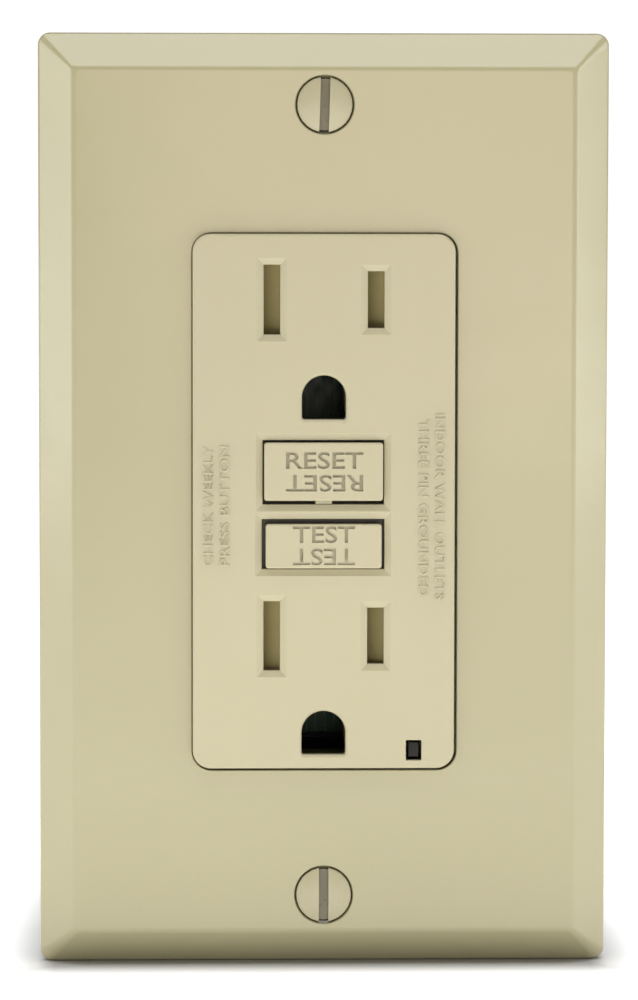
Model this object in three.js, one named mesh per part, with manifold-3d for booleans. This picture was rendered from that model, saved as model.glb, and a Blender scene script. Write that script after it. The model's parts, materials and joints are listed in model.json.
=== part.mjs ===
// A 15 A ground-fault outlet with its wall plate, as it hangs on a wall.
// Millimetres. +X is to the right, +Y goes into the wall and +Z is up.
// The origin is the centre of the wall plate, on the wall's surface.
import * as THREE from 'three';
import { mergeVertices } from 'three/addons/utils/BufferGeometryUtils.js';
import Module from 'manifold-3d';

const wasm = await Module();
wasm.setup();

// ---------------------------------------------------------------- driving dimensions

const gap = 0.3; // running and resting clearance between neighbours
const roundSides = 18; // sides of an ordinary round piece
const ahead = -20; // a cut that starts here starts in front of every piece
const beyond = 60; // and one that ends here ends behind them all

const plate = {
  width: 69.85, height: 114.3, depth: 5.6, skirt: 1.4, bevel: 4.3, wall: 2.2, cornerRadius: 1.5,
  screwSpacing: 96.84,
};
const plateHollow = { inset: 1.8, bevelWidth: 2.4, bevelDepth: 2.6, collarWidth: 1.5, collarDepth: 0.8 };
const plateScrew = { head: 3.38, shank: 1.7, point: 0.9, crown: -5.95, rim: -5.35, end: 8, slot: 1.17 };
const opening = { width: 32.55, height: 65.95, cornerRadius: 2.4 };

const device = { shiftX: -0.08, shiftZ: 0.04 }; // the face sits a little off centre in its opening
const face = {
  width: 32, height: 65.4, front: -6.6, wall: 2, sideWall: 1.4, cornerRadius: 2.2, edge: 0.35,
};
const body = { width: 41.5, height: 69, cornerRadius: 2.5, wall: 1.8, parting: 6, back: 28.6, floor: 2 };
const flange = { front: -2.3, thickness: 1.5 };

const strap = {
  thickness: 1.3, recess: 2.3, halfWidth: 14.2, length: 106.4, earHalfWidth: 12,
  boxScrewSpacing: 83.34, joggleStart: 34.8, joggleEnd: 36.9, lobeX: 11.5, lobeZ: 47.4, lobeRadius: 5.2,
};

// A plug's two blades stand side by side, with its ground pin below them.
const outlet = { bladeX: 6.35, groundDrop: 11.9, slotWidth: 2, neutralHeight: 8.5, hotHeight: 6.9 };
const outletHeights = { upper: 24.7, lower: -16.4 };
const ground = { radius: 2.68, flatDrop: 2.68, tubeWall: 1.1, tubeEnd: -1.6 };

const resetKey = { x: -0.03, z: 3.75, width: 14.5, height: 7.1, front: -7 };
const testKey = { x: -0.02, z: -5.36, width: 14.15, height: 5.42, front: -7.1 };
const resetWindow = { x: -0.06, z: 3.665, width: 14.82, height: 7.85 };
const testWindow = { x: -0.08, z: -5.135, width: 14.97, height: 6.13 };
const keyChamfer = { width: 0.7, depth: 0.5 };
const slotChamfer = { width: 0.7, depth: 0.6 };
const groundChamfer = { width: 0.35, depth: 0.4 };
const peg = { x: -3, radius: 1.2, end: 4.6 }; // the test key's peg

const light = { x: 11.06, z: -30.46, width: 1.9, height: 2.46 };

const shutter = { halfHeight: 5.1, left: -11.9, right: 9.2, front: -4.2, back: -2.4, travel: 3 };
const separator = { front: 2.9, back: 4.4, halfWidth: 18.6, halfHeight: 32.4 };
const board = { front: 15.8, back: 17.4, halfWidth: 16.5, halfHeight: 31 };

const terminal = { z: 20, y: 15, plateInner: 17, plateOuter: 18, halfHeight: 4.8, hole: 2.25 };
const clamp = { thickness: 1.2, outer: 16.4, halfHeight: 4.2, halfDepth: 4.2 };
const corner = { x: 17.2, z: 30.6, boss: 2.4, hole: 1.65, screw: 1.35 };

const solenoid = { y: 10.6, z: -5.8, left: 4.2, right: 17.4, coilRadius: 3.6 };
const latch = { front: 9.6, back: 10.4 };
const arm = {
  x: 11.9, front: 11.7, back: 12.3, anchorZ: 13.5, tipZ: 1, halfWidth: 1.5, contactZ: 2.8, contactRadius: 1.3,
};

// ---------------------------------------------------------------- materials

function material(color, roughness, metalness = 0) {
  return new THREE.MeshStandardMaterial({ color, roughness, metalness });
}
const ivory = material(0xd9ceae, 0.35);
const ivoryDark = material(0xc9bf9c, 0.45);
const housing = material(0xe4e0d2, 0.5);
const steel = material(0xb9bbb8, 0.35, 1);
const brass = material(0xb8923f, 0.3, 1);
const copper = material(0xa5592b, 0.35, 0.8);
const greenScrew = material(0x2f7a45, 0.35, 0.7);
const boardGreen = material(0x2f6b3c, 0.5);
const darkPlastic = material(0x232323, 0.45);
const ferrite = material(0x3a3a3d, 0.7);
const bluePlastic = material(0x2b5fa8, 0.4);
const amber = material(0xc9902f, 0.4);
const clear = material(0xdfe6e2, 0.1);

// ---------------------------------------------------------------- solids

// Turns a closed three.js geometry into a solid that can be cut and joined.
function solid(geometry) {
  const plain = geometry.clone();
  plain.deleteAttribute('normal');
  plain.deleteAttribute('uv');
  const merged = mergeVertices(plain, 1e-5);
  const index = merged.index.array;
  const corners = [];
  for (let i = 0; i < index.length; i += 3) {
    const [a, b, c] = [index[i], index[i + 1], index[i + 2]];
    if (a !== b && b !== c && c !== a) corners.push(a, b, c);
  }
  return new wasm.Manifold(new wasm.Mesh({
    numProp: 3,
    vertProperties: new Float32Array(merged.attributes.position.array),
    triVerts: new Uint32Array(corners),
  }));
}

function join(...pieces) {
  return pieces.reduce((whole, piece) => whole.add(piece));
}

function cut(base, ...tools) {
  return tools.reduce((rest, tool) => rest.subtract(tool), base);
}

// A box between two corners, given as a range along each axis.
function block([x0, x1], [y0, y1], [z0, z1]) {
  const geometry = new THREE.BoxGeometry(x1 - x0, y1 - y0, z1 - z0);
  geometry.translate((x0 + x1) / 2, (y0 + y1) / 2, (z0 + z1) / 2);
  return solid(geometry);
}

function span(centre, half) {
  return [centre - half, centre + half];
}

// An outline in X and Z, made solid from one depth to another.
function slab(shape, [y0, y1], options = {}) {
  const settings = { depth: y1 - y0, bevelEnabled: false, curveSegments: 3, ...options };
  const geometry = new THREE.ExtrudeGeometry(shape, settings);
  geometry.rotateX(Math.PI / 2);
  geometry.translate(0, y1, 0);
  return solid(geometry);
}

// An outline in Y and Z, made solid from one X to another.
function crossSlab(points, [x0, x1]) {
  const shape = new THREE.Shape(points.map(([y, z]) => new THREE.Vector2(y, z)));
  const geometry = new THREE.ExtrudeGeometry(shape, { depth: x1 - x0, bevelEnabled: false });
  geometry.rotateY(Math.PI / 2);
  geometry.rotateX(Math.PI / 2);
  geometry.translate(x0, 0, 0);
  return solid(geometry);
}

// An outline in X and Y, made solid from one height to another.
function tallSlab(points, [z0, z1]) {
  const shape = new THREE.Shape(points.map(([x, y]) => new THREE.Vector2(x, y)));
  const geometry = new THREE.ExtrudeGeometry(shape, { depth: z1 - z0, bevelEnabled: false });
  geometry.translate(0, 0, z0);
  return solid(geometry);
}

function roundedRectangle(width, height, radius, x = 0, z = 0) {
  const [left, right] = span(x, width / 2);
  const [low, high] = span(z, height / 2);
  const shape = new THREE.Shape();
  shape.moveTo(left + radius, low);
  shape.lineTo(right - radius, low);
  shape.absarc(right - radius, low + radius, radius, -Math.PI / 2, 0);
  shape.absarc(right - radius, high - radius, radius, 0, Math.PI / 2);
  shape.absarc(left + radius, high - radius, radius, Math.PI / 2, Math.PI);
  shape.absarc(left + radius, low + radius, radius, Math.PI, Math.PI * 1.5);
  return shape;
}

function rectangle(width, height, x = 0, z = 0) {
  const [left, right] = span(x, width / 2);
  const [low, high] = span(z, height / 2);
  return new THREE.Shape([
    new THREE.Vector2(left, low), new THREE.Vector2(right, low),
    new THREE.Vector2(right, high), new THREE.Vector2(left, high),
  ]);
}

// A ground hole's outline: round above, flat below.
function groundOutline(z, grow = 0) {
  const radius = ground.radius + grow;
  const shape = new THREE.Shape();
  shape.moveTo(-radius, z - ground.flatDrop - grow);
  shape.lineTo(radius, z - ground.flatDrop - grow);
  shape.absarc(0, z, radius, 0, Math.PI);
  return shape;
}

// A block with its four front edges bevelled, as wide as its outline from the bevel to the back.
function bevelledSlab(shape, front, back, bevelWidth, bevelDepth) {
  const whole = slab(shape, [front + bevelDepth, back], {
    bevelEnabled: true, bevelThickness: bevelDepth, bevelSize: bevelWidth, bevelOffset: -bevelWidth,
    bevelSegments: 1,
  });
  const behind = block([-200, 200], [back, back + 50], [-200, 200]);
  return whole.subtract(behind);
}

// The cut that leaves a chamfer round a hole, with the hole's outline grown by the chamfer.
function chamferCut(grownShape, front, width, depth) {
  return slab(grownShape, [front - 0.5, front], {
    bevelEnabled: true, bevelThickness: depth, bevelSize: width, bevelOffset: -width, bevelSegments: 1,
  });
}

const turns = {
  x: (geometry) => geometry.rotateZ(-Math.PI / 2),
  y: (geometry) => geometry,
  z: (geometry) => geometry.rotateX(Math.PI / 2),
};

// A cylinder along one axis, between two distances on it. The centre gives the other two places.
function rod(axis, [start, end], radius, centre, sides = roundSides) {
  const geometry = new THREE.CylinderGeometry(radius, radius, end - start, sides);
  geometry.translate(0, (start + end) / 2, 0);
  turns[axis](geometry);
  geometry.translate(...centre);
  return solid(geometry);
}

// A turned piece. Its profile is a list of [radius, distance], with distance always growing.
function turned(axis, profile, centre, sides = roundSides) {
  const points = profile.map(([radius, distance]) => new THREE.Vector2(radius, distance));
  const geometry = new THREE.LatheGeometry(points, sides);
  turns[axis](geometry);
  geometry.translate(...centre);
  return solid(geometry);
}

class Helix extends THREE.Curve {
  constructor(radius, length, coils) {
    super();
    Object.assign(this, { radius, length, coils });
  }

  getPoint(t, target = new THREE.Vector3()) {
    const angle = t * this.coils * Math.PI * 2;
    return target.set(Math.cos(angle) * this.radius, t * this.length, Math.sin(angle) * this.radius);
  }
}

// A coil spring along one axis, between two distances on it.
function spring(axis, [start, end], radius, wire, coils, centre) {
  const section = new THREE.Shape();
  section.absarc(0, 0, wire, 0, Math.PI * 2);
  const path = new Helix(radius, end - start - 2 * wire, coils);
  const geometry = new THREE.ExtrudeGeometry(section, {
    steps: coils * 8, curveSegments: 2, bevelEnabled: false, extrudePath: path,
  });
  geometry.translate(0, start + wire, 0);
  turns[axis](geometry);
  geometry.translate(...centre);
  return solid(geometry);
}

const group = new THREE.Group();
const deviceGroup = new THREE.Group();
deviceGroup.position.set(device.shiftX, 0, device.shiftZ);
group.add(deviceGroup);

function addPiece(parent, name, piece, look) {
  const { vertProperties, triVerts } = piece.getMesh();
  const geometry = new THREE.BufferGeometry();
  geometry.setAttribute('position', new THREE.BufferAttribute(vertProperties, 3));
  geometry.setIndex(new THREE.BufferAttribute(triVerts, 1));
  geometry.computeVertexNormals();
  const mesh = new THREE.Mesh(geometry, look);
  mesh.name = name;
  parent.add(mesh);
}

const put = (name, piece, look) => addPiece(group, name, piece, look);
const putInDevice = (name, piece, look) => addPiece(deviceGroup, name, piece, look);

// ---------------------------------------------------------------- wall plate and its screws

function wallPlate() {
  const { inset, bevelWidth, bevelDepth, collarWidth, collarDepth } = plateHollow;
  const outer = bevelledSlab(
    rectangle(plate.width, plate.height), -plate.depth, 0, plate.bevel, plate.depth - plate.skirt,
  );
  const corners = slab(roundedRectangle(plate.width, plate.height, plate.cornerRadius), [ahead, beyond]);
  const hollowFront = -plate.depth + plate.wall;
  const hollow = bevelledSlab(
    rectangle(plate.width - 2 * inset, plate.height - 2 * inset), hollowFront, beyond, bevelWidth, bevelDepth,
  );
  const collar = slab(
    roundedRectangle(opening.width + 2 * collarWidth, opening.height + 2 * collarWidth, 3),
    [hollowFront - 0.2, hollowFront + collarDepth],
  );
  const hole = slab(roundedRectangle(opening.width, opening.height, opening.cornerRadius), [ahead, beyond]);
  const screwHoles = [-1, 1].map((side) => plateScrewHole([0, 0, side * plate.screwSpacing / 2]));
  return cut(join(cut(outer.intersect(corners), hollow), collar), hole, ...screwHoles);
}

// A clear hole that flares in front, so that the screw's head sits in it.
function plateScrewHole(centre) {
  const [throat, mouth] = [plateScrew.shank + gap, plateScrew.head + gap];
  const flare = [[0, ahead], [mouth, ahead], [mouth, -5.2], [throat, -3.8], [0, -3.8]];
  return join(rod('y', [ahead, beyond], throat, centre), turned('y', flare, centre));
}

// An oval-head screw, nearly flush in its countersink, with its slot upright.
function makePlateScrew(side, slotTilt) {
  const { head, shank, point, crown, rim, end, slot } = plateScrew;
  const centre = [0, 0, side * plate.screwSpacing / 2];
  const screw = turned('y', [
    [0, crown], [1.3, crown + 0.08], [2.5, crown + 0.29], [head, rim], [head, rim + 0.15],
    [shank, rim + 1.65], [shank, end - 0.7], [point, end], [0, end],
  ], centre, 24);
  const slotDepth = 1;
  const slotGeometry = new THREE.BoxGeometry(slot, 2 * slotDepth, 3 * head);
  slotGeometry.rotateY(slotTilt);
  slotGeometry.translate(0, crown + 0.05, centre[2]);
  return cut(screw, solid(slotGeometry));
}

put('wall_plate', wallPlate(), ivory);
put('plate_screw_top', makePlateScrew(1, 0.03), ivoryDark);
put('plate_screw_bottom', makePlateScrew(-1, 0), ivoryDark);

// ---------------------------------------------------------------- face cover

const slots = [
  { side: -1, height: outlet.neutralHeight },
  { side: 1, height: outlet.hotHeight },
];
const cavityHalfWidth = face.width / 2 - face.sideWall;
const cavityHalfHeight = face.height / 2 - face.sideWall;
const wallBack = face.front + face.wall;
const skirtHalfWidth = body.width / 2 - body.wall + 0.2;
const skirtHalfHeight = body.height / 2 - body.wall + 0.2;

function cornerRods(y, radius) {
  return [-1, 1].flatMap((sideX) => [-1, 1].map(
    (sideZ) => rod('y', y, radius, [sideX * corner.x, 0, sideZ * corner.z], 12),
  ));
}

function slotCuts(bladeZ) {
  const { width, depth } = slotChamfer;
  return slots.flatMap(({ side, height }) => {
    const x = side * outlet.bladeX;
    const flared = rectangle(outlet.slotWidth + 2 * width, height + 2 * width, x, bladeZ);
    return [
      slab(rectangle(outlet.slotWidth, height, x, bladeZ), [ahead, 0]),
      chamferCut(flared, face.front, width, depth),
    ];
  });
}

function windowCuts({ x, z, width, height }) {
  const grow = 2 * keyChamfer.width;
  return [
    slab(rectangle(width, height, x, z), [ahead, 0]),
    chamferCut(rectangle(width + grow, height + grow, x, z), face.front, keyChamfer.width,
      keyChamfer.depth),
  ];
}

function faceCover() {
  const outline = roundedRectangle(face.width, face.height, face.cornerRadius);
  const bodyOutline = roundedRectangle(body.width, body.height, body.cornerRadius);
  const boss = bevelledSlab(outline, face.front, flange.front + 0.5, face.edge, face.edge);
  const skirt = slab(bodyOutline, [flange.front, body.parting]);
  const cavity = slab(rectangle(2 * cavityHalfWidth, 2 * cavityHalfHeight), [wallBack, beyond]);
  const skirtHollow = slab(
    rectangle(2 * skirtHalfWidth, 2 * skirtHalfHeight), [flange.front + flange.thickness, beyond],
  );
  const strapNotch = block(span(0, strap.halfWidth + 0.8), [0.7, beyond], [-beyond, beyond]);
  const shell = cut(join(boss, skirt), cavity, skirtHollow, strapNotch);
  const groundZs = Object.values(outletHeights).map((z) => z - outlet.groundDrop);
  const tubes = groundZs.map(
    (z) => slab(groundOutline(z, ground.tubeWall), [wallBack - 0.2, ground.tubeEnd]),
  );
  const groundHoles = groundZs.flatMap((z) => [
    slab(groundOutline(z), [ahead, beyond]),
    chamferCut(groundOutline(z, groundChamfer.width), face.front, groundChamfer.width, groundChamfer.depth),
  ]);
  const bosses = cornerRods([flange.front + 0.2, body.parting], corner.boss);
  const screwHoles = cornerRods([0.9, beyond], corner.hole);
  return cut(
    join(shell, ...tubes, ...bosses),
    ...groundHoles,
    ...screwHoles,
    ...Object.values(outletHeights).flatMap(slotCuts),
    ...windowCuts(resetWindow),
    ...windowCuts(testWindow),
    slab(rectangle(light.width, light.height, light.x, light.z), [ahead, 0]),
  );
}

putInDevice('face_cover', faceCover(), ivory);

// ---------------------------------------------------------------- reset and test keys

function keyCap(key, backY, flangeY, flangeZ) {
  const cap = bevelledSlab(
    roundedRectangle(key.width, key.height, 0.5, key.x, key.z), key.front, backY, 0.3, 0.3,
  );
  const lip = block(span(key.x, 8.15), [flangeY, backY], flangeZ);
  return join(cap, lip);
}

const resetBack = -2.7;
const testBack = -3.4;
const hub = { outer: 2.2, inner: 1.3, end: 0.6 };
const pin = { radius: 1, waist: 0.6, start: -3, end: 14.2, waistStart: 7.9, waistEnd: 12.9 };

function resetButton() {
  const cap = keyCap(resetKey, resetBack, -3.5, [-0.7, 8.35]);
  const tube = rod('y', [resetBack - 0.2, hub.end], hub.outer, [0, 0, resetKey.z]);
  const bore = rod('y', [pin.start - gap, 5], hub.inner, [0, 0, resetKey.z]);
  return cut(join(cap, tube), bore);
}

// The pin is waisted where the latch plate grips it.
function resetPin() {
  return turned('y', [
    [0, pin.start], [pin.radius, pin.start], [pin.radius, pin.waistStart - 0.4],
    [pin.waist, pin.waistStart], [pin.waist, pin.waistEnd], [pin.radius, pin.waistEnd],
    [pin.radius, pin.end - 0.5], [pin.waist, pin.end], [0, pin.end],
  ], [0, 0, resetKey.z], 16);
}

function testButton() {
  const cap = keyCap(testKey, testBack, -4.2, [-9, -1.4]);
  return join(cap, rod('y', [testBack - 0.2, peg.end], peg.radius, [peg.x, 0, testKey.z], 16));
}

putInDevice('reset_button', resetButton(), ivory);
putInDevice('reset_pin', resetPin(), steel);
putInDevice('reset_spring',
  spring('y', [resetBack + 0.2, 2.6], 2.75, 0.22, 5, [0, 0, resetKey.z]), steel);
putInDevice('test_button', testButton(), ivory);

// A leaf held at its left end; the test key's peg bends it and it pushes the key back.
const leaf = { left: -8.7, right: -1.5, front: 4.9, back: 5.3, foot: 6.9, halfHeight: 1.35 };
putInDevice('test_contact_arm', join(
  block([leaf.left, leaf.right], [leaf.front, leaf.back], span(testKey.z, leaf.halfHeight)),
  block([leaf.left, leaf.left + 0.5], [leaf.front, leaf.foot], span(testKey.z, leaf.halfHeight)),
), copper);

// ---------------------------------------------------------------- status light

const pipe = { start: -5.9, end: 14 };
putInDevice('light_pipe', block(
  span(light.x, light.width / 2 - gap), [pipe.start, pipe.end], span(light.z, light.height / 2 - gap),
), clear);
putInDevice('status_led', block(
  span(light.x, 1), [pipe.end + gap, board.front - 0.1], span(light.z, 1.2),
), amber);

// ---------------------------------------------------------------- plug shutters

// One slide covers both slots. Two blades pushed in together press on its slopes and slide it
// sideways until its windows stand behind the slots.
function shutterSlide(bladeZ) {
  const { halfHeight, left, right, front, back } = shutter;
  const slope = 2.85;
  const windowWidth = 2.6;
  const openings = [-1, 1].map((side) => {
    const end = side * outlet.bladeX - shutter.travel + windowWidth / 2;
    const start = end - windowWidth;
    const outline = [
      [start, front - 1], [end + slope * 1.5, front - 1], [end + slope, front], [end, back],
      [end, back + 1], [start, back + 1],
    ];
    return tallSlab(outline, span(bladeZ, halfHeight - 0.6));
  });
  return cut(block([left, right], [front, back], span(bladeZ, halfHeight)), ...openings);
}

function shutterBase(bladeZ) {
  const halfWidth = cavityHalfWidth - 0.35;
  const floor = { front: -2.1, back: -1.3 };
  const rim = 6.4;
  const tray = block(span(0, halfWidth), [shutter.front, floor.back], span(bladeZ, rim));
  const across = [-beyond, beyond];
  const channel = block(across, [ahead, floor.front], span(bladeZ, shutter.halfHeight + gap));
  const lowEnds = block(across, [ahead, shutter.front + 0.1], across);
  const passages = slots.map(({ side }) => block(
    span(side * outlet.bladeX, 1.5), [ahead, beyond], span(bladeZ, 4.8),
  ));
  const stop = block(
    [halfWidth - 0.8, halfWidth], [shutter.front + 0.1, floor.back], span(bladeZ, rim),
  );
  return join(cut(tray, channel, lowEnds, ...passages), stop);
}

for (const [name, bladeZ] of Object.entries(outletHeights)) {
  const middle = (shutter.front + shutter.back) / 2;
  const springEnd = cavityHalfWidth - 0.35 - 0.8 - 0.1;
  putInDevice(`shutter_base_${name}`, shutterBase(bladeZ), housing);
  putInDevice(`shutter_${name}`, shutterSlide(bladeZ), ivoryDark);
  putInDevice(`shutter_spring_${name}`,
    spring('x', [shutter.right + 0.1, springEnd], 0.7, 0.12, 4, [0, middle, bladeZ]), steel);
}

// ---------------------------------------------------------------- mounting strap

const strapBack = strap.recess;
const strapFront = strapBack - strap.thickness;

function strapEar(side) {
  const low = strap.joggleEnd - 0.3;
  const high = strap.length / 2;
  const middle = side * (low + high) / 2;
  const plain = slab(
    roundedRectangle(2 * strap.earHalfWidth, high - low, 1.5, 0, middle), [-strap.thickness, 0],
  );
  const lobes = [-1, 1].map((sideX) => rod(
    'y', [-strap.thickness, 0], strap.lobeRadius, [sideX * strap.lobeX, 0, side * strap.lobeZ],
  ));
  const joggle = crossSlab([
    [strapFront, strap.joggleStart], [strapBack, strap.joggleStart],
    [0, strap.joggleEnd + 0.2], [-strap.thickness, strap.joggleEnd + 0.2],
  ].map(([y, z]) => [y, side * z]), span(0, strap.earHalfWidth));
  return join(plain, ...lobes, joggle);
}

// Tapped holes for the plate screws, oval holes for the box screws, and ways through for the blades,
// the ground pins, the reset key's hub, the test key's peg and the light pipe.
function strapHoles() {
  const through = [ahead, beyond];
  const ovalHole = { width: 6.6, height: 4.2, radius: 2 };
  const outer = [-1, 1].flatMap((side) => [
    rod('y', through, plateScrew.shank + 0.25, [0, 0, side * plate.screwSpacing / 2], 16),
    slab(roundedRectangle(
      ovalHole.width, ovalHole.height, ovalHole.radius, 0, side * strap.boxScrewSpacing / 2,
    ), through),
  ]);
  const blades = Object.values(outletHeights).flatMap((z) => slots.map(
    ({ side }) => block(span(side * outlet.bladeX, 2.6), through, span(z, 5.2)),
  ));
  const grounds = Object.values(outletHeights).map(
    (z) => rod('y', through, ground.radius + gap, [0, 0, z - outlet.groundDrop]),
  );
  return [
    ...outer, ...blades, ...grounds,
    rod('y', through, hub.outer + 1.2, [0, 0, resetKey.z]),
    rod('y', through, peg.radius + 0.6, [peg.x, 0, testKey.z], 16),
    block(span(light.x, 1.5), through, span(light.z, 1.8)),
  ];
}

const groundTab = {
  x: -9.5, halfWidth: 4.5, top: -35.1, thickness: 1.2, start: 1.1, end: 10.8, screwY: 6.2, hole: 2.1,
};

function mountingStrap() {
  const centre = block(
    span(0, strap.halfWidth), [strapFront, strapBack], span(0, strap.joggleStart + 0.4),
  );
  const tab = block(
    span(groundTab.x, groundTab.halfWidth), [groundTab.start, groundTab.end],
    [groundTab.top - groundTab.thickness, groundTab.top],
  );
  const tabHole = rod('z', [-beyond, 0], groundTab.hole, [groundTab.x, groundTab.screwY, 0], 16);
  return cut(join(centre, strapEar(1), strapEar(-1), cut(tab, tabHole)), ...strapHoles());
}

putInDevice('mounting_strap', mountingStrap(), steel);

// Two spring fingers that grip a plug's ground pin.
const groundGrip = { baseHalf: 3.6, hole: 2.75, fingerX: 3.05, fingerHalfHeight: 2.2, back: 11 };
function groundContact(z) {
  const start = strapBack + 0.1;
  const base = block(span(0, groundGrip.baseHalf), [start, start + 0.8], span(z, groundGrip.baseHalf));
  const hole = rod('y', [ahead, beyond], groundGrip.hole, [0, 0, z]);
  const fingers = [-1, 1].map((side) => block(
    span(side * groundGrip.fingerX, 0.25), [start, groundGrip.back], span(z, groundGrip.fingerHalfHeight),
  ));
  return join(cut(base, hole), ...fingers);
}

for (const [name, bladeZ] of Object.entries(outletHeights)) {
  putInDevice(`ground_contact_${name}`, groundContact(bladeZ - outlet.groundDrop), brass);
}

// A round head with a screwdriver slot, its shank along one axis. side is the way the head faces.
function slottedScrew(axis, side, seat, centre, { head, rise, shank, length }) {
  const profile = [
    [0, -rise], [head * 0.75, -rise], [head, -rise * 0.6], [head, 0], [shank, 0], [shank, length - 0.6],
    [shank - 0.5, length], [0, length],
  ];
  const placed = profile.map(([radius, distance]) => [radius, seat - side * distance]);
  const ordered = side > 0 ? placed.reverse() : placed;
  const screw = turned(axis, ordered, centre, 14);
  const slotWidth = 1.1;
  const slotLength = 2 * head + 2;
  const sizes = {
    x: [2 * rise, slotLength, slotWidth],
    y: [slotWidth, 2 * rise, slotLength],
    z: [slotLength, slotWidth, 2 * rise],
  };
  const slotGeometry = new THREE.BoxGeometry(...sizes[axis]);
  const slotPlace = seat + side * (rise * 1.5);
  const along = { x: [slotPlace, 0, 0], y: [0, slotPlace, 0], z: [0, 0, slotPlace] };
  slotGeometry.translate(...along[axis]);
  slotGeometry.translate(...centre);
  return cut(screw, solid(slotGeometry));
}

putInDevice('ground_screw', slottedScrew('z', -1, groundTab.top - groundTab.thickness - 0.1,
  [groundTab.x, groundTab.screwY, 0], { head: 3.9, rise: 2, shank: 1.75, length: 3.5 }), greenScrew);

for (const [name, side] of [['top', 1], ['bottom', -1]]) {
  const centre = [0, 0, side * strap.boxScrewSpacing / 2];
  putInDevice(`box_screw_${name}`, slottedScrew('y', -1, -strap.thickness - 0.1, centre,
    { head: 3.45, rise: 1.6, shank: 1.7, length: 22 }), steel);
  putInDevice(`screw_retainer_${name}`, cut(
    slab(roundedRectangle(6, 6, 1, 0, centre[2]), [gap, gap + 0.7]),
    rod('y', [ahead, beyond], 1.95, centre, 12),
  ), ivoryDark);
}

// ---------------------------------------------------------------- separator

function makeSeparator() {
  const { front, back, halfWidth, halfHeight } = separator;
  const through = [ahead, beyond];
  const sheet = block(span(0, halfWidth), [front, back], span(0, halfHeight));
  const ribs = Object.values(outletHeights).flatMap((z) => [-1, 1].map(
    (side) => block(span(side * 4.1, 0.35), [front, 12], span(z, 5.4)),
  ));
  const blades = Object.values(outletHeights).flatMap((z) => slots.map(
    ({ side }) => block(span(side * outlet.bladeX, 1.55), through, span(z, 4.9)),
  ));
  const grounds = Object.values(outletHeights).map(
    (z) => block(span(0, 4), through, span(z - outlet.groundDrop, 4)),
  );
  return cut(join(sheet, ...ribs), ...blades, ...grounds, ...cornerRods(through, corner.boss + gap),
    rod('y', through, pin.radius + 0.5, [0, 0, resetKey.z], 16),
    rod('y', through, 1.6, [peg.x, 0, testKey.z], 16),
    block(span(light.x, 1.1), through, span(light.z, 1.4)));
}

putInDevice('separator', makeSeparator(), housing);

// ---------------------------------------------------------------- load contacts

const clip = { leaf: 0.6, halfSpace: 0.9, halfHeight: 4, front: 4.8, back: 12.6 };
const strip = { inner: 9.4, outer: 10.2, front: 5, back: 9.4, low: -20, high: 28.5 };

// A hole across one side's terminal plate.
function terminalHole(side, radius, z) {
  const range = side > 0 ? [10, 30] : [-30, -10];
  return rod('x', range, radius, [0, terminal.y, z]);
}

// One side's contacts: a strip that joins the two blade clips, the load terminal and the fixed
// contact that the moving arm closes on.
function loadContact(side) {
  const box = ([x0, x1], y, z) => block(side > 0 ? [x0, x1] : [-x1, -x0], y, z);
  const clips = Object.values(outletHeights).flatMap((z) => [
    ...[-1, 1].map((leafSide) => box(
      span(outlet.bladeX + leafSide * (clip.halfSpace + clip.leaf / 2), clip.leaf / 2),
      [clip.front, clip.back], span(z, clip.halfHeight),
    )),
    box(span(outlet.bladeX, clip.halfSpace + clip.leaf), [clip.back - 0.1, clip.back + 0.6],
      span(z, clip.halfHeight)),
    box([outlet.bladeX + clip.halfSpace + 0.1, strip.outer], [strip.front, strip.front + 0.8], span(z, 3)),
  ]);
  const rail = cut(
    box([strip.inner, strip.outer], [strip.front, strip.back], [strip.low, strip.high]),
    box([strip.inner - 1, strip.outer + 1], [strip.front + 1, strip.back + 1], span(solenoid.z, 4.8)),
  );
  const bridge = box([strip.inner, terminal.plateOuter], [strip.front, strip.front + 0.8],
    span(terminal.z, 3.5));
  const plateFace = box([terminal.plateInner, terminal.plateOuter], [strip.front, 19.6],
    span(terminal.z, terminal.halfHeight));
  const hole = terminalHole(side, terminal.hole, terminal.z);
  const bracket = box([strip.inner, arm.x + 1.4], [strip.back - 0.8, strip.back], [0.8, 4.8]);
  const fixedContact = rod(
    'y', [strip.back - 0.1, arm.front - 1.1], arm.contactRadius, [side * arm.x, 0, arm.contactZ], 16,
  );
  return join(...clips, rail, bridge, cut(plateFace, hole), bracket, fixedContact);
}

putInDevice('load_contact_neutral', loadContact(-1), steel);
putInDevice('load_contact_hot', loadContact(1), brass);

// ---------------------------------------------------------------- terminals

function lineTerminal(side) {
  const box = ([x0, x1], y, z) => block(side > 0 ? [x0, x1] : [-x1, -x0], y, z);
  const plateFace = box([terminal.plateInner, terminal.plateOuter], [9.5, 22.5],
    span(-terminal.z, terminal.halfHeight));
  const hole = terminalHole(side, terminal.hole, -terminal.z);
  const foot = box([13.4, terminal.plateOuter], [21.7, 22.5], span(-terminal.z, 2));
  return join(cut(plateFace, hole), foot);
}

function pressurePlate(side, z) {
  const range = [clamp.outer - clamp.thickness, clamp.outer];
  const x = side > 0 ? range : [-range[1], -range[0]];
  const flat = block(x, span(terminal.y, clamp.halfDepth), span(z, clamp.halfHeight));
  return cut(flat, terminalHole(side, terminal.hole - 0.05, z));
}

const terminalPlaces = [
  ['load', 'neutral', -1, 1], ['load', 'hot', 1, 1], ['line', 'neutral', -1, -1], ['line', 'hot', 1, -1],
];

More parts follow.
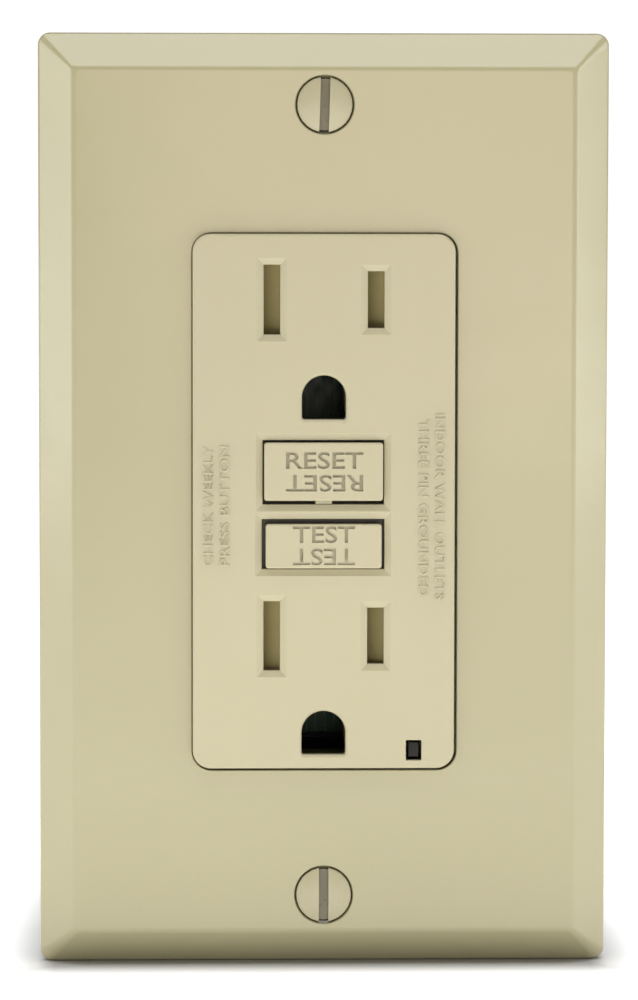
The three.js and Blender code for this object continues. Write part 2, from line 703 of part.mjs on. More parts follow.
putInDevice('line_terminal_neutral', lineTerminal(-1), steel);
putInDevice('line_terminal_hot', lineTerminal(1), brass);
for (const [circuit, wire, side, sideZ] of terminalPlaces) {
  const z = sideZ * terminal.z;
  const look = side > 0 ? brass : steel;
  putInDevice(`terminal_screw_${circuit}_${wire}`, slottedScrew('x', side,
    side * (terminal.plateOuter + 0.1), [0, terminal.y, z],
    { head: 3.9, rise: 2, shank: 1.9, length: 5.6 }), look);
  putInDevice(`pressure_plate_${circuit}_${wire}`, pressurePlate(side, z), look);
}

// ---------------------------------------------------------------- tripping mechanism

function contactArm(side) {
  const x = side * arm.x;
  const spar = block(span(x, arm.halfWidth), [arm.front, arm.back], [arm.tipZ, arm.anchorZ + 1]);
  const rivet = rod('y', [arm.front - 1, arm.back], arm.contactRadius, [x, 0, arm.contactZ], 16);
  return join(spar, rivet);
}

putInDevice('contact_arm_neutral', contactArm(-1), copper);
putInDevice('contact_arm_hot', contactArm(1), copper);

const wing = { front: 12.6, back: 13.8, low: 3, high: 5.4 };
const carriage = { halfWidth: 3.7, front: 7, low: 0.2, slotTop: 7.1, high: 8.4 };

// The block that the reset pin lifts: a core with a slot for the latch plate, and two wings that
// carry the contact arms.
function latchBlock() {
  const { halfWidth, front, low, slotTop, high } = carriage;
  const core = block(span(0, halfWidth), [front, wing.back], [low, high]);
  const wings = block(span(0, arm.x + 1.4), [wing.front, wing.back], [wing.low, wing.high]);
  const bore = rod('y', [0, beyond], pin.radius + 0.5, [0, 0, resetKey.z], 16);
  const slide = block([-beyond, beyond], [latch.front - gap, latch.back + gap], [-beyond, slotTop]);
  const rib = block([-halfWidth, 0.8 - halfWidth], [latch.front - 1, latch.back + 1], [slotTop - 0.1, high]);
  return join(cut(core, slide, bore), cut(wings, bore), rib);
}

function latchPlate() {
  const sheet = join(
    block([-2.6, 2.6], [latch.front, latch.back], [0.4, 6.6]),
    block([-2.6, 1.5], [latch.front, latch.back], [-7.6, 0.5]),
  );
  const tab = block([0.9, 1.5], [latch.front - 1.4, latch.back + 1.4], [-7.6, -4]);
  const keyhole = slab(roundedRectangle(4, 2.8, 1.35, 0.85, resetKey.z), [0, beyond]);
  return cut(join(sheet, tab), keyhole);
}

putInDevice('latch_block', latchBlock(), darkPlastic);
putInDevice('latch_plate', latchPlate(), steel);

// A U of sheet steel round the coil, open at the front.
function solenoidFrame() {
  const { left, right, y, z } = solenoid;
  const sheet = 0.8;
  const back = y + 4.9;
  const outer = block([left, right], [y - 4.2, back], span(z, 4.3));
  const inner = block([left + sheet, right - sheet], [ahead, back - sheet], span(z, beyond));
  const hole = rod('x', [left - 2, left + 2], 1.95, [0, y, z]);
  return cut(outer, inner, hole);
}

function solenoidBobbin() {
  const [start, end] = [solenoid.left + 1.1, solenoid.right - 1.1];
  return turned('x', [
    [1.9, start], [3.9, start], [3.9, start + 0.7], [2.5, start + 0.7], [2.5, end - 0.7], [3.9, end - 0.7],
    [3.9, end], [1.9, end], [1.9, start],
  ], [0, solenoid.y, solenoid.z]);
}

function solenoidCoil() {
  const [start, end] = [solenoid.left + 2.1, solenoid.right - 2.1];
  return turned('x', [
    [2.75, start], [solenoid.coilRadius, start], [solenoid.coilRadius, end], [2.75, end], [2.75, start],
  ], [0, solenoid.y, solenoid.z]);
}

putInDevice('solenoid_frame', solenoidFrame(), steel);
putInDevice('solenoid_bobbin', solenoidBobbin(), housing);
putInDevice('solenoid_coil', solenoidCoil(), copper);
const plungerEnd = 11;
putInDevice('plunger', turned('x', [
  [0, 1.8], [1, 1.8], [1.2, 2.1], [1.2, 3.4], [1.6, 3.4], [1.6, plungerEnd], [0, plungerEnd],
], [0, solenoid.y, solenoid.z], 16), steel);
putInDevice('plunger_spring',
  spring('x', [plungerEnd + 0.1, solenoid.right - 1], 1.3, 0.18, 5, [0, solenoid.y, solenoid.z]), steel);

// ---------------------------------------------------------------- circuit board and its parts

function circuitBoard() {
  const sheet = block(span(0, board.halfWidth), [board.front, board.back], span(0, board.halfHeight));
  const notchX = 12.2;
  const terminalNotches = [-1, 1].flatMap((sideX) => [-1, 1].map((sideZ) => block(
    sideX > 0 ? [notchX, beyond] : [-beyond, -notchX], [0, beyond], span(sideZ * terminal.z, 5.4),
  )));
  return cut(sheet, ...terminalNotches, ...cornerRods([0, beyond], corner.boss + 0.5));
}

putInDevice('circuit_board', circuitBoard(), boardGreen);

const sensor = { z: -8, outer: 8.2, inner: 3.6, wall: 1, front: 17.7, back: 25.4 };
function ring(inner, outer, [start, end], z, sides = 20) {
  return turned('y', [[inner, start], [outer, start], [outer, end], [inner, end], [inner, start]],
    [0, 0, z], sides);
}

// The current sensor: two ring cores stacked in an open plastic cup.
const coreRadii = [sensor.inner + sensor.wall + gap, sensor.outer - sensor.wall - gap];
putInDevice('transformer_boot', cut(
  ring(sensor.inner, sensor.outer, [sensor.front, sensor.back], sensor.z),
  ring(sensor.inner + sensor.wall, sensor.outer - sensor.wall, [sensor.front + 1, beyond], sensor.z),
), darkPlastic);
putInDevice('differential_core',
  ring(...coreRadii, [sensor.front + 1.3, sensor.front + 4], sensor.z), ferrite);
putInDevice('grounded_neutral_core',
  ring(...coreRadii, [sensor.front + 4.3, sensor.back - 0.4], sensor.z), ferrite);
const onBoard = board.back + 0.2;
putInDevice('varistor', rod('y', [onBoard, onBoard + 3.6], 5, [-5, 0, 22]), bluePlastic);
putInDevice('film_capacitor', block([3, 11], [onBoard, onBoard + 6], [19, 24]), amber);
putInDevice('control_chip', block([-3, 3], [onBoard, onBoard + 1.6], [8, 12]), darkPlastic);
putInDevice('thyristor', rod('z', [5, 9.5], 2.3, [9, onBoard + 2.5, 0], 16), darkPlastic);

// ---------------------------------------------------------------- rear body

const seat = 27; // where the assembly screws' heads sit
const assemblyScrew = { head: 2.6, rise: 1.3, shank: corner.screw, length: 25.6 };

function rearBody() {
  const outline = roundedRectangle(body.width, body.height, body.cornerRadius);
  const shell = cut(
    slab(outline, [body.parting + gap, body.back]),
    slab(rectangle(2 * skirtHalfWidth, 2 * skirtHalfHeight), [-5, body.back - body.floor]),
  );
  const sides = [-1, 1].flatMap((sideX) => [-1, 1].map((sideZ) => [sideX, sideZ]));
  const windows = sides.map(([sideX, sideZ]) => block(
    sideX > 0 ? [15, beyond] : [-beyond, -15], [9, 21.5], span(sideZ * terminal.z, 5.2),
  ));
  const wireX = (clamp.outer - clamp.thickness - 1.6 + terminal.plateInner) / 2;
  const wireHoles = sides.flatMap(([sideX, sideZ]) => [-1, 1].map((place) => rod(
    'y', [20, beyond], 1.3, [sideX * wireX, 0, sideZ * terminal.z + place * 3.1], 12,
  )));
  const bosses = cornerRods([body.parting + gap, body.back - 0.5], corner.boss + 0.1);
  const tongues = [-1, 1].map((side) => block(
    span(0, strap.halfWidth + 0.4), [strap.recess + 0.4, body.parting + 2],
    span(side * (body.height / 2 - body.wall / 2), body.wall / 2),
  ));
  const screwWay = rod('z', [-beyond, -30], groundTab.hole, [groundTab.x, groundTab.screwY, 0], 16);
  return cut(
    join(shell, ...bosses, ...tongues), ...windows, ...wireHoles, screwWay,
    ...cornerRods([0, beyond], corner.hole), ...cornerRods([seat - gap, beyond], assemblyScrew.head + gap),
  );
}

putInDevice('rear_body', rearBody(), darkPlastic);
terminalPlaces.forEach(([, , sideX, sideZ], index) => {
  const centre = [sideX * corner.x, 0, sideZ * corner.z];
  putInDevice(`assembly_screw_${index + 1}`, slottedScrew('y', 1, seat, centre, assemblyScrew), steel);
});

export default group;
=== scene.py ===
"""Looks for the ground-fault outlet: a glossy ivory wall plate round a three-pin duplex device."""

import json
import math

import bmesh
import bpy
from mathutils import Matrix, Vector


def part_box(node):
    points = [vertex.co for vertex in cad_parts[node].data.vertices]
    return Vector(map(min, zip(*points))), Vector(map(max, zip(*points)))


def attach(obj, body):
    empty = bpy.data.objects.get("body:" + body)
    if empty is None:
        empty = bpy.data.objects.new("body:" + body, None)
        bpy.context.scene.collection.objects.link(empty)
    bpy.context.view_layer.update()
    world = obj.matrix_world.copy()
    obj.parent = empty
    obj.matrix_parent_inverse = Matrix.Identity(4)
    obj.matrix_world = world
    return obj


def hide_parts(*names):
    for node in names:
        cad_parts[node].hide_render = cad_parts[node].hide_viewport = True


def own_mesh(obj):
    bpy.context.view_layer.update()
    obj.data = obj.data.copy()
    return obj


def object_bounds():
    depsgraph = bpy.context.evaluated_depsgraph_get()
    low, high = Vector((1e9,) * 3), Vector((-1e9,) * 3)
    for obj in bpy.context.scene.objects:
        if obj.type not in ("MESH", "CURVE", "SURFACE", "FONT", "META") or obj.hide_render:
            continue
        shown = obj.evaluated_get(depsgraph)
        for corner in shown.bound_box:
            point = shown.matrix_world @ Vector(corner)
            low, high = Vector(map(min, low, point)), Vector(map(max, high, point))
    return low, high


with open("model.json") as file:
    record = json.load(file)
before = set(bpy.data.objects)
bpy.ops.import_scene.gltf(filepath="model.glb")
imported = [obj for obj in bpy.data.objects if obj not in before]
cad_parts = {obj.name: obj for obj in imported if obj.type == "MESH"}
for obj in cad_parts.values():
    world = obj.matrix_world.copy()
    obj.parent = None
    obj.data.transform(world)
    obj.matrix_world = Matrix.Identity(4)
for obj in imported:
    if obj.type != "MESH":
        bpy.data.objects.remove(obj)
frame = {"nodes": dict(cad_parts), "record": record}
cad_low, cad_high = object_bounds()
MM = 0.001

# ---------------------------------------------------------------- camera

CAMERA_DISTANCE = 0.590
CAMERA_PITCH = math.radians(4.278)
CAMERA_YAW = math.radians(1.691)
CAMERA_ROLL = math.radians(0.093)
LENS = 172.2
SENSOR = 36
SHIFT = (-0.0039, -0.00135)


def make_camera():
    """The camera stands a little above the plate's middle and a little to its left."""
    data = bpy.data.cameras.new("camera")
    camera = bpy.data.objects.new("camera", data)
    bpy.context.scene.collection.objects.link(camera)
    data.sensor_width = SENSOR
    data.lens = LENS
    data.shift_x, data.shift_y = SHIFT
    data.clip_start = 0.01
    data.clip_end = 20
    flat = math.cos(CAMERA_PITCH)
    back = Vector((-math.sin(CAMERA_YAW) * flat, -math.cos(CAMERA_YAW) * flat, math.sin(CAMERA_PITCH)))
    camera.location = back * CAMERA_DISTANCE
    turn = (-back).to_track_quat("-Z", "Y").to_matrix() @ Matrix.Rotation(CAMERA_ROLL, 3, "Z")
    camera.rotation_mode = "QUATERNION"
    camera.rotation_quaternion = turn.to_quaternion()
    bpy.context.scene.camera = camera


make_camera()

# ---------------------------------------------------------------- material building


class Nodes:
    """A small helper that adds shader nodes and wires them."""

    def __init__(self, name):
        self.material = bpy.data.materials.new(name)
        self.material.use_nodes = True
        self.tree = self.material.node_tree
        self.shader = self.tree.nodes["Principled BSDF"]
        self.place = self.add("ShaderNodeTexCoord").outputs["Object"]

    def add(self, kind, **settings):
        node = self.tree.nodes.new(kind)
        for key, value in settings.items():
            setattr(node, key, value)
        return node

    def link(self, source, target):
        self.tree.links.new(source, target)

    def noise(self, scale, detail=3, roughness=0.5, stretch=(1, 1, 1)):
        mapping = self.add("ShaderNodeMapping")
        mapping.inputs["Scale"].default_value = stretch
        self.link(self.place, mapping.inputs["Vector"])
        noise = self.add("ShaderNodeTexNoise")
        noise.inputs["Scale"].default_value = scale
        noise.inputs["Detail"].default_value = detail
        noise.inputs["Roughness"].default_value = roughness
        self.link(mapping.outputs["Vector"], noise.inputs["Vector"])
        return noise.outputs["Fac"]

    def remap(self, source, low, high, to_low, to_high):
        node = self.add("ShaderNodeMapRange", clamp=True)
        for index, value in enumerate((low, high, to_low, to_high), start=1):
            node.inputs[index].default_value = value
        self.link(source, node.inputs[0])
        return node.outputs[0]

    def mix(self, amount, first, second):
        """Blends two colours by an amount that varies over the surface."""
        node = self.add("ShaderNodeMix", data_type="RGBA")
        self.link(amount, node.inputs["Factor"])
        for value, socket in ((first, node.inputs[6]), (second, node.inputs[7])):
            if hasattr(value, "is_output"):
                self.link(value, socket)
            else:
                socket.default_value = (*value, 1)
        return node.outputs[2]

    def maths(self, operation, *values):
        node = self.add("ShaderNodeMath", operation=operation)
        for index, value in enumerate(values):
            if hasattr(value, "is_output"):
                self.link(value, node.inputs[index])
            else:
                node.inputs[index].default_value = value
        return node.outputs[0]

    def bump(self, height, distance, strength=1.0, below=None):
        node = self.add("ShaderNodeBump")
        node.inputs["Strength"].default_value = strength
        node.inputs["Distance"].default_value = distance
        self.link(height, node.inputs["Height"])
        if below is not None:
            self.link(below, node.inputs["Normal"])
        self.link(node.outputs["Normal"], self.shader.inputs["Normal"])
        return node.outputs["Normal"]

    def recess(self, depths, reach, amount, centre=(0, 0)):
        """How far a point is sunk, from 0 to amount, within reach of a centre, as the mask for painted
        shade. All in millimetres.
        """
        parts = self.add("ShaderNodeSeparateXYZ")
        self.link(self.place, parts.inputs[0])
        sunk = self.remap(parts.outputs["Y"], depths[0] * MM, depths[1] * MM, 0, amount)
        for socket, middle, limit in zip("XZ", centre, reach):
            offset = self.maths("ABSOLUTE", self.maths("SUBTRACT", parts.outputs[socket], middle * MM))
            inside = self.remap(offset, (limit - 0.02) * MM, limit * MM, 1, 0)
            sunk = self.maths("MULTIPLY", sunk, inside)
        return sunk

    def set(self, **values):
        for key, value in values.items():
            self.shader.inputs[key.replace("_", " ")].default_value = value


def srgb(red, green, blue):
    """A colour given as the 0 to 255 values of a screen, as the shader's linear numbers."""
    def linear(value):
        value /= 255
        return value / 12.92 if value <= 0.04045 else ((value + 0.055) / 1.055) ** 2.4
    return tuple(linear(value) for value in (red, green, blue))

# ---------------------------------------------------------------- materials

# Near-black brown mixed into surfaces with depth: painted shade in recesses, slots and gaps.
PAINTED_SHADE_COLOUR = (0.035, 0.028, 0.008)


def moulded_ivory(name, colour, roughness=0.3, grain=0.004, recesses=()):
    """Glossy moulded plastic: faint flow clouds, a very fine skin, dust and fine scuffs, and painted
    shade that darkens the recesses with depth, each a (depths, reach, amount, centre)."""
    nodes = Nodes(name)
    clouds = nodes.noise(14, 2, 0.5, (1, 1, 0.6))
    mottle = nodes.noise(160, 4, 0.6)
    darker = tuple(channel * 0.955 for channel in colour)
    lighter = tuple(min(1, channel * 1.03) for channel in colour)
    base = nodes.mix(nodes.remap(clouds, 0.35, 0.65, 0, 1), darker, lighter)
    speck = nodes.remap(nodes.noise(2600, 2, 0.5), 0.7, 0.78, 0, 0.16)
    skin = nodes.mix(speck, base, tuple(channel * 0.72 for channel in colour))
    # painted shade: each recess darkens the colour towards near black with depth, standing in for the
    # shade inside slots, holes and gaps
    for recess in recesses:
        skin = nodes.mix(nodes.recess(*recess), skin, PAINTED_SHADE_COLOUR)
    nodes.link(skin, nodes.shader.inputs["Base Color"])
    scratches = nodes.remap(nodes.noise(700, 2, 0.5, (1, 1, 0.25)), 0.68, 0.76, 0, 0.06)
    gloss = nodes.remap(mottle, 0.3, 0.7, roughness - 0.03, roughness + 0.04)
    nodes.link(nodes.maths("ADD", gloss, scratches), nodes.shader.inputs["Roughness"])
    waves = nodes.bump(nodes.noise(110, 1, 0.4), 0.00006, 0.25)
    nodes.bump(nodes.noise(5200, 3, 0.6), grain * MM, 0.35, waves)
    nodes.set(IOR=1.5, Subsurface_Weight=0.06, Subsurface_Scale=0.0012)
    nodes.shader.inputs["Subsurface Radius"].default_value = (1.0, 0.7, 0.4)
    return nodes.material


def matte_plastic(name, colour, roughness=0.5, texture=0.02):
    """Plain moulded housing plastic with a spark-eroded texture and scuffs."""
    nodes = Nodes(name)
    tone = nodes.remap(nodes.noise(60, 4, 0.6), 0.3, 0.7, 0, 1)
    base = nodes.mix(tone, tuple(channel * 0.85 for channel in colour),
                     tuple(min(1, channel * 1.12) for channel in colour))
    scuff = nodes.remap(nodes.noise(420, 3, 0.6, (1, 0.12, 1)), 0.66, 0.76, 0, 0.35)
    pale = tuple(min(1, channel * 1.3 + 0.05) for channel in colour)
    nodes.link(nodes.mix(scuff, base, pale), nodes.shader.inputs["Base Color"])
    rough = nodes.remap(nodes.noise(900, 3, 0.6), 0.3, 0.7, roughness - 0.08, roughness + 0.1)
    nodes.link(rough, nodes.shader.inputs["Roughness"])
    nodes.bump(nodes.noise(3200, 3, 0.65), texture * MM, 0.5)
    return nodes.material


def metal(name, colour, roughness=0.3, stretch=(1, 1, 8), tarnish=0.5):
    """Plated or bare sheet metal: fine drawn lines, uneven polish and dull patches."""
    nodes = Nodes(name)
    patches = nodes.remap(nodes.noise(130, 4, 0.6), 0.45, 0.7, 0, tarnish)
    dull = tuple(channel * 0.62 for channel in colour)
    nodes.link(nodes.mix(patches, colour, dull), nodes.shader.inputs["Base Color"])
    lines = nodes.noise(1500, 3, 0.6, stretch)
    polish = nodes.remap(lines, 0.3, 0.7, roughness - 0.08, roughness + 0.12)
    nodes.link(nodes.maths("ADD", polish, nodes.maths("MULTIPLY", patches, 0.25)),
               nodes.shader.inputs["Roughness"])
    nodes.bump(lines, 0.004 * MM, 0.4)
    nodes.set(Metallic=1.0)
    return nodes.material


def painted_screw(name, colour, painted_shade_from=None):
    """Enamelled steel: paint with a soft skin, chipped through to metal in small spots. Given a depth,
    the head is darkened behind it as painted shade in the slot and the ring round the rim.
    """
    nodes = Nodes(name)
    chips = nodes.remap(nodes.noise(1100, 4, 0.7), 0.72, 0.76, 0, 1)
    tone = nodes.mix(nodes.noise(300, 3, 0.5), tuple(channel * 0.93 for channel in colour), colour)
    wear_and_painted_shade = nodes.mix(chips, tone, (0.28, 0.26, 0.22))
    # painted shade: from the given depth backwards the paint goes near black, for the shade in the slot
    # and in the gap round the head's rim
    if painted_shade_from is not None:
        wear_and_painted_shade = nodes.mix(nodes.recess((painted_shade_from, painted_shade_from + 0.25), (4, 60), 0.62), wear_and_painted_shade, PAINTED_SHADE_COLOUR)
    nodes.link(wear_and_painted_shade, nodes.shader.inputs["Base Color"])
    nodes.link(nodes.maths("MULTIPLY", chips, 0.8), nodes.shader.inputs["Metallic"])
    gloss = nodes.remap(nodes.noise(700, 3, 0.6), 0.3, 0.7, 0.26, 0.4)
    nodes.link(gloss, nodes.shader.inputs["Roughness"])
    nodes.bump(nodes.noise(1800, 3, 0.6), 0.01 * MM, 0.5)
    return nodes.material


def solder_mask(name):
    """The board: green mask over copper lands, with the tracks showing through."""
    nodes = Nodes(name)
    tracks = nodes.add("ShaderNodeTexBrick", offset=0.37, squash=0.6)
    tracks.inputs["Scale"].default_value = 260
    tracks.inputs["Mortar Size"].default_value = 0.03
    nodes.link(nodes.place, tracks.inputs["Vector"])
    mask = nodes.mix(tracks.outputs["Fac"], (0.01, 0.06, 0.024), (0.025, 0.13, 0.05))
    nodes.link(mask, nodes.shader.inputs["Base Color"])
    nodes.link(nodes.remap(nodes.noise(800), 0.3, 0.7, 0.25, 0.42), nodes.shader.inputs["Roughness"])
    nodes.bump(tracks.outputs["Fac"], 0.03 * MM, 0.6)
    nodes.set(Specular_IOR_Level=0.3)
    return nodes.material


def winding(name):
    """Enamelled copper wire wound in close turns."""
    nodes = Nodes(name)
    wave = nodes.add("ShaderNodeTexWave", bands_direction="X", wave_profile="SIN")
    wave.inputs["Scale"].default_value = 900
    nodes.link(nodes.place, wave.inputs["Vector"])
    turns = wave.outputs["Fac"]
    copper = nodes.mix(turns, (0.25, 0.08, 0.03), (0.72, 0.32, 0.14))
    nodes.link(copper, nodes.shader.inputs["Base Color"])
    nodes.link(nodes.remap(nodes.noise(500), 0.3, 0.7, 0.2, 0.34), nodes.shader.inputs["Roughness"])
    nodes.bump(turns, 0.08 * MM, 0.8)
    nodes.set(Metallic=0.85)
    return nodes.material


def clear_plastic(name):
    """The tinted light pipe."""
    nodes = Nodes(name)
    nodes.link(nodes.mix(nodes.noise(300), (0.006, 0.006, 0.004), (0.014, 0.013, 0.008)),
               nodes.shader.inputs["Base Color"])
    nodes.link(nodes.remap(nodes.noise(900), 0.3, 0.7, 0.16, 0.3), nodes.shader.inputs["Roughness"])
    nodes.bump(nodes.noise(1500), 0.004 * MM, 0.3)
    nodes.set(Specular_IOR_Level=0.2)
    return nodes.material


MATERIALS = {
    # -5.4 mm is the depth behind which these heads are darkened as painted shade
    "painted_screw": painted_screw("painted_screw", srgb(168, 161, 131), -5.4),
    "shutter_plastic": matte_plastic("shutter_plastic", srgb(172, 160, 108), 0.45, 0.01),
    "pale_plastic": matte_plastic("pale_plastic", srgb(222, 218, 204), 0.5),
    "plated_steel": metal("plated_steel", (0.62, 0.63, 0.62), 0.3),
    "brass": metal("brass", (0.78, 0.56, 0.24), 0.28),
    "copper": metal("copper", (0.78, 0.42, 0.26), 0.3),
    "green_screw": painted_screw("green_screw", srgb(38, 118, 62)),
    "board_green": solder_mask("board_green"),
    "black_plastic": matte_plastic("black_plastic", (0.022, 0.022, 0.023), 0.42, 0.03),
    "ferrite": matte_plastic("ferrite", (0.05, 0.05, 0.055), 0.7, 0.05),
    "blue_epoxy": matte_plastic("blue_epoxy", (0.03, 0.11, 0.42), 0.3, 0.01),
    "amber_epoxy": matte_plastic("amber_epoxy", (0.5, 0.26, 0.05), 0.3, 0.01),
    "clear_plastic": clear_plastic("clear_plastic"),
}
WINDING = winding("winding")

SLOT_OF = {row["node"]: row["material_slot"] for row in frame["record"]["subparts"]}
BODY_OF = {
    node: body
    for body, nodes in frame["record"]["behaviour"]["bodies"].items()
    for node in nodes
}

# ---------------------------------------------------------------- mesh building, in millimetres


def mesh_from(vertices, faces, name="shape"):
    mesh = bpy.data.meshes.new(name)
    mesh.from_pydata([tuple(v) for v in vertices], [], faces)
    mesh.validate()
    shape = bpy.data.objects.new(name, mesh)
    bpy.context.scene.collection.objects.link(shape)
    return shape


def rounded_rectangle(half_width, half_height, radius, steps=8, x=0.0, z=0.0):
    """Points round a rectangle with round corners, anticlockwise as seen from the front."""
    radius = max(radius, 1e-3)
    centres = (
        (x + half_width - radius, z - half_height + radius, -90),
        (x + half_width - radius, z + half_height - radius, 0),
        (x - half_width + radius, z + half_height - radius, 90),
        (x - half_width + radius, z - half_height + radius, 180),
    )
    points = []
    for centre_x, centre_z, start in centres:
        for step in range(steps + 1):
            angle = math.radians(start + 90 * step / steps)
            points.append((centre_x + radius * math.cos(angle), centre_z + radius * math.sin(angle)))
    return points


def ground_outline(radius, x, z, corner=0.25, steps=24):
    """A ground hole's outline: round above and flat below, with small lower corners."""
    points = []
    for side, start in ((-1, 180), (1, 270)):
        centre_x = x + side * (radius - corner)
        for step in range(5):
            angle = math.radians(start + 90 * step / 4)
            height = z - radius + corner + corner * math.sin(angle)
            points.append((centre_x + corner * math.cos(angle), height))
    for step in range(steps + 1):
        angle = math.pi * step / steps
        points.append((x + radius * math.cos(angle), z + radius * math.sin(angle)))
    return points


def loft(loops):
    """A closed shape through outlines of equal length. Each loop is (points, depth), front first."""
    count = len(loops[0][0])
    vertices = [(x, depth, z) for points, depth in loops for x, z in points]
    faces = [list(range(count))]
    for ring in range(len(loops) - 1):
        near, far = ring * count, (ring + 1) * count
        for i in range(count):
            j = (i + 1) % count
            faces.append([near + i, far + i, far + j, near + j])
    last = (len(loops) - 1) * count
    faces.append([last + i for i in reversed(range(count))])
    return mesh_from(vertices, faces)


def box_shape(x, y, z):
    outline = [(x[0], z[0]), (x[1], z[0]), (x[1], z[1]), (x[0], z[1])]
    return loft([(outline, y[0]), (outline, y[1])])


AXIS_TURN = {
    "y": Matrix.Identity(4),
    "x": Matrix.Rotation(-math.pi / 2, 4, "Z"),
    "z": Matrix.Rotation(math.pi / 2, 4, "X"),
}


def lathe(profile, axis="y", centre=(0, 0, 0), sides=48, radius_at=lambda radius, place, angle: radius):
    """A turned shape from (radius, distance) points that start and end on the axis.
    radius_at may change the radius round the turn, as a thread does."""
    vertices, faces = [], []
    rings = []
    for radius, distance in profile:
        if radius < 1e-6:
            rings.append([len(vertices)])
            vertices.append((0, distance, 0))
        else:
            rings.append([len(vertices) + i for i in range(sides)])
            for i in range(sides):
                angle = 2 * math.pi * i / sides
                reach = radius_at(radius, distance, angle)
                vertices.append((reach * math.cos(angle), distance, reach * math.sin(angle)))
    for near, far in zip(rings, rings[1:]):
        for i in range(sides):
            j = (i + 1) % sides
            if len(near) == 1:
                faces.append([near[0], far[i], far[j]])
            elif len(far) == 1:
                faces.append([near[i], far[0], near[j]])
            else:
                faces.append([near[i], far[i], far[j], near[j]])
    shape = mesh_from(vertices, faces)
    shape.data.transform(Matrix.Translation(centre) @ AXIS_TURN[axis])
    face_outwards(shape)
    return shape


def face_outwards(shape):
    work = bmesh.new()
    work.from_mesh(shape.data)
    bmesh.ops.recalc_face_normals(work, faces=work.faces)
    work.to_mesh(shape.data)
    work.free()


def settle(shape):
    """Applies a shape's modifiers and returns it."""
    graph = bpy.context.evaluated_depsgraph_get()
    mesh = bpy.data.meshes.new_from_object(shape.evaluated_get(graph))
    shape.modifiers.clear()
    old = shape.data
    shape.data = mesh
    bpy.data.meshes.remove(old)
    return shape


def combine(base, tools, operation="DIFFERENCE"):
    """Cuts tools from a shape, or joins them to it, one by one. The tools are used up."""
    face_outwards(base)
    for tool in tools:
        face_outwards(tool)
        modifier = base.modifiers.new("cut", "BOOLEAN")
        modifier.operation = operation
        modifier.solver = "EXACT"
        modifier.object = tool
        settle(base)
        bpy.data.objects.remove(tool)
    return base


def soften(shape, width, segments=2, angle=30):
    """Makes flat faces whole again, then rounds every edge that is sharper than an angle."""
    work = bmesh.new()
    work.from_mesh(shape.data)
    bmesh.ops.remove_doubles(work, verts=work.verts, dist=0.002)
    bmesh.ops.dissolve_limit(work, angle_limit=math.radians(1), verts=work.verts, edges=work.edges)
    work.to_mesh(shape.data)
    work.free()
    modifier = shape.modifiers.new("edges", "BEVEL")
    modifier.width = width
    modifier.segments = segments
    modifier.limit_method = "ANGLE"
    modifier.angle_limit = math.radians(angle)
    modifier.use_clamp_overlap = True
    return settle(shape)


def fillet(radius, steps=5):
    """The inset and depth of each step across a rounded front edge, front first."""
    angles = [math.pi / 2 * i / steps for i in range(steps + 1)]
    return [(radius * (1 - math.sin(angle)), radius * (1 - math.cos(angle))) for angle in angles]


def smooth(shape, angle=32):
    """Shades a shape smooth except across real corners."""
    for polygon in shape.data.polygons:
        polygon.use_smooth = True
    work = bmesh.new()
    work.from_mesh(shape.data)
    for edge in work.edges:
        if len(edge.link_faces) == 2:
            edge.smooth = edge.calc_face_angle(0) < math.radians(angle)
    work.to_mesh(shape.data)
    work.free()


def piece(shape, name, replaced, material=None):
    """Makes a finished shape in millimetres stand for one CAD node."""
    shape.name = name
    shape.data.name = name
    shape.data.transform(Matrix.Scale(MM, 4))
    smooth(shape)
    weighting = shape.modifiers.new("normals", "WEIGHTED_NORMAL")
    weighting.keep_sharp = True
    settle(shape)
    shape.data.materials.clear()
    shape.data.materials.append(material or MATERIALS[SLOT_OF[replaced]])
    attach(shape, BODY_OF[replaced])
    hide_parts(replaced)


def node_shape(node):
    """A working copy of a CAD node's mesh, in millimetres."""
    mesh = frame["nodes"][node].data.copy()
    mesh.transform(Matrix.Scale(1 / MM, 4))
    shape = bpy.data.objects.new(node + "_copy", mesh)
    bpy.context.scene.collection.objects.link(shape)
    return shape

# ---------------------------------------------------------------- sizes, in millimetres


def node_box(node):
    low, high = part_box(node)
    return low / MM, high / MM


plate_low, plate_high = node_box("wall_plate")
cover_low, cover_high = node_box("face_cover")
PLATE_FRONT = plate_low.y
FACE_FRONT = cover_low.y
REAR_BACK = node_box("rear_body")[1].y
DEVICE_X = (cover_low.x + cover_high.x) / 2
DEVICE_Z = (cover_low.z + cover_high.z) / 2
BODY_HALF = ((cover_high.x - cover_low.x) / 2, (cover_high.z - cover_low.z) / 2)
INNER_HALF = (BODY_HALF[0] - 1.6, BODY_HALF[1] - 1.6)
FACE_HALF = (16.0, 32.7)
OPENING_HALF = (16.2, 32.9)
OPENING_CENTRE = (0.05, -0.08)
BLADE_X = 6.35
GROUND_DROP = 11.9
OUTLETS = {"upper": 24.7 + DEVICE_Z, "lower": -16.4 + DEVICE_Z}
SLOTS = ((-1, 8.5), (1, 6.9))
SLOT_WIDTH = 2.0
CHAMFER = 0.78
GROUND_RADIUS = 2.68
GROUND_HOLES = [z - GROUND_DROP for z in OUTLETS.values()]
LIGHT_X = 11.06 + DEVICE_X
LIGHT_Z = -30.46 + DEVICE_Z
PLATE_SCREW_Z = 48.42
BOX_SCREW_Z = 41.67
GROUND_SCREW = (DEVICE_X - 9.5, 6.2, 0)
PEG_X = DEVICE_X - 3
CORNER = (17.2, 30.6)
SCREW_HOLE = 1.65
TERMINAL_Z = 20.0
TERMINAL_Y = 15.0
SIDES = (-1, 1)
THREAD_PITCH = 0.794
THROUGH = (-5, 5)
FAR = 60.0

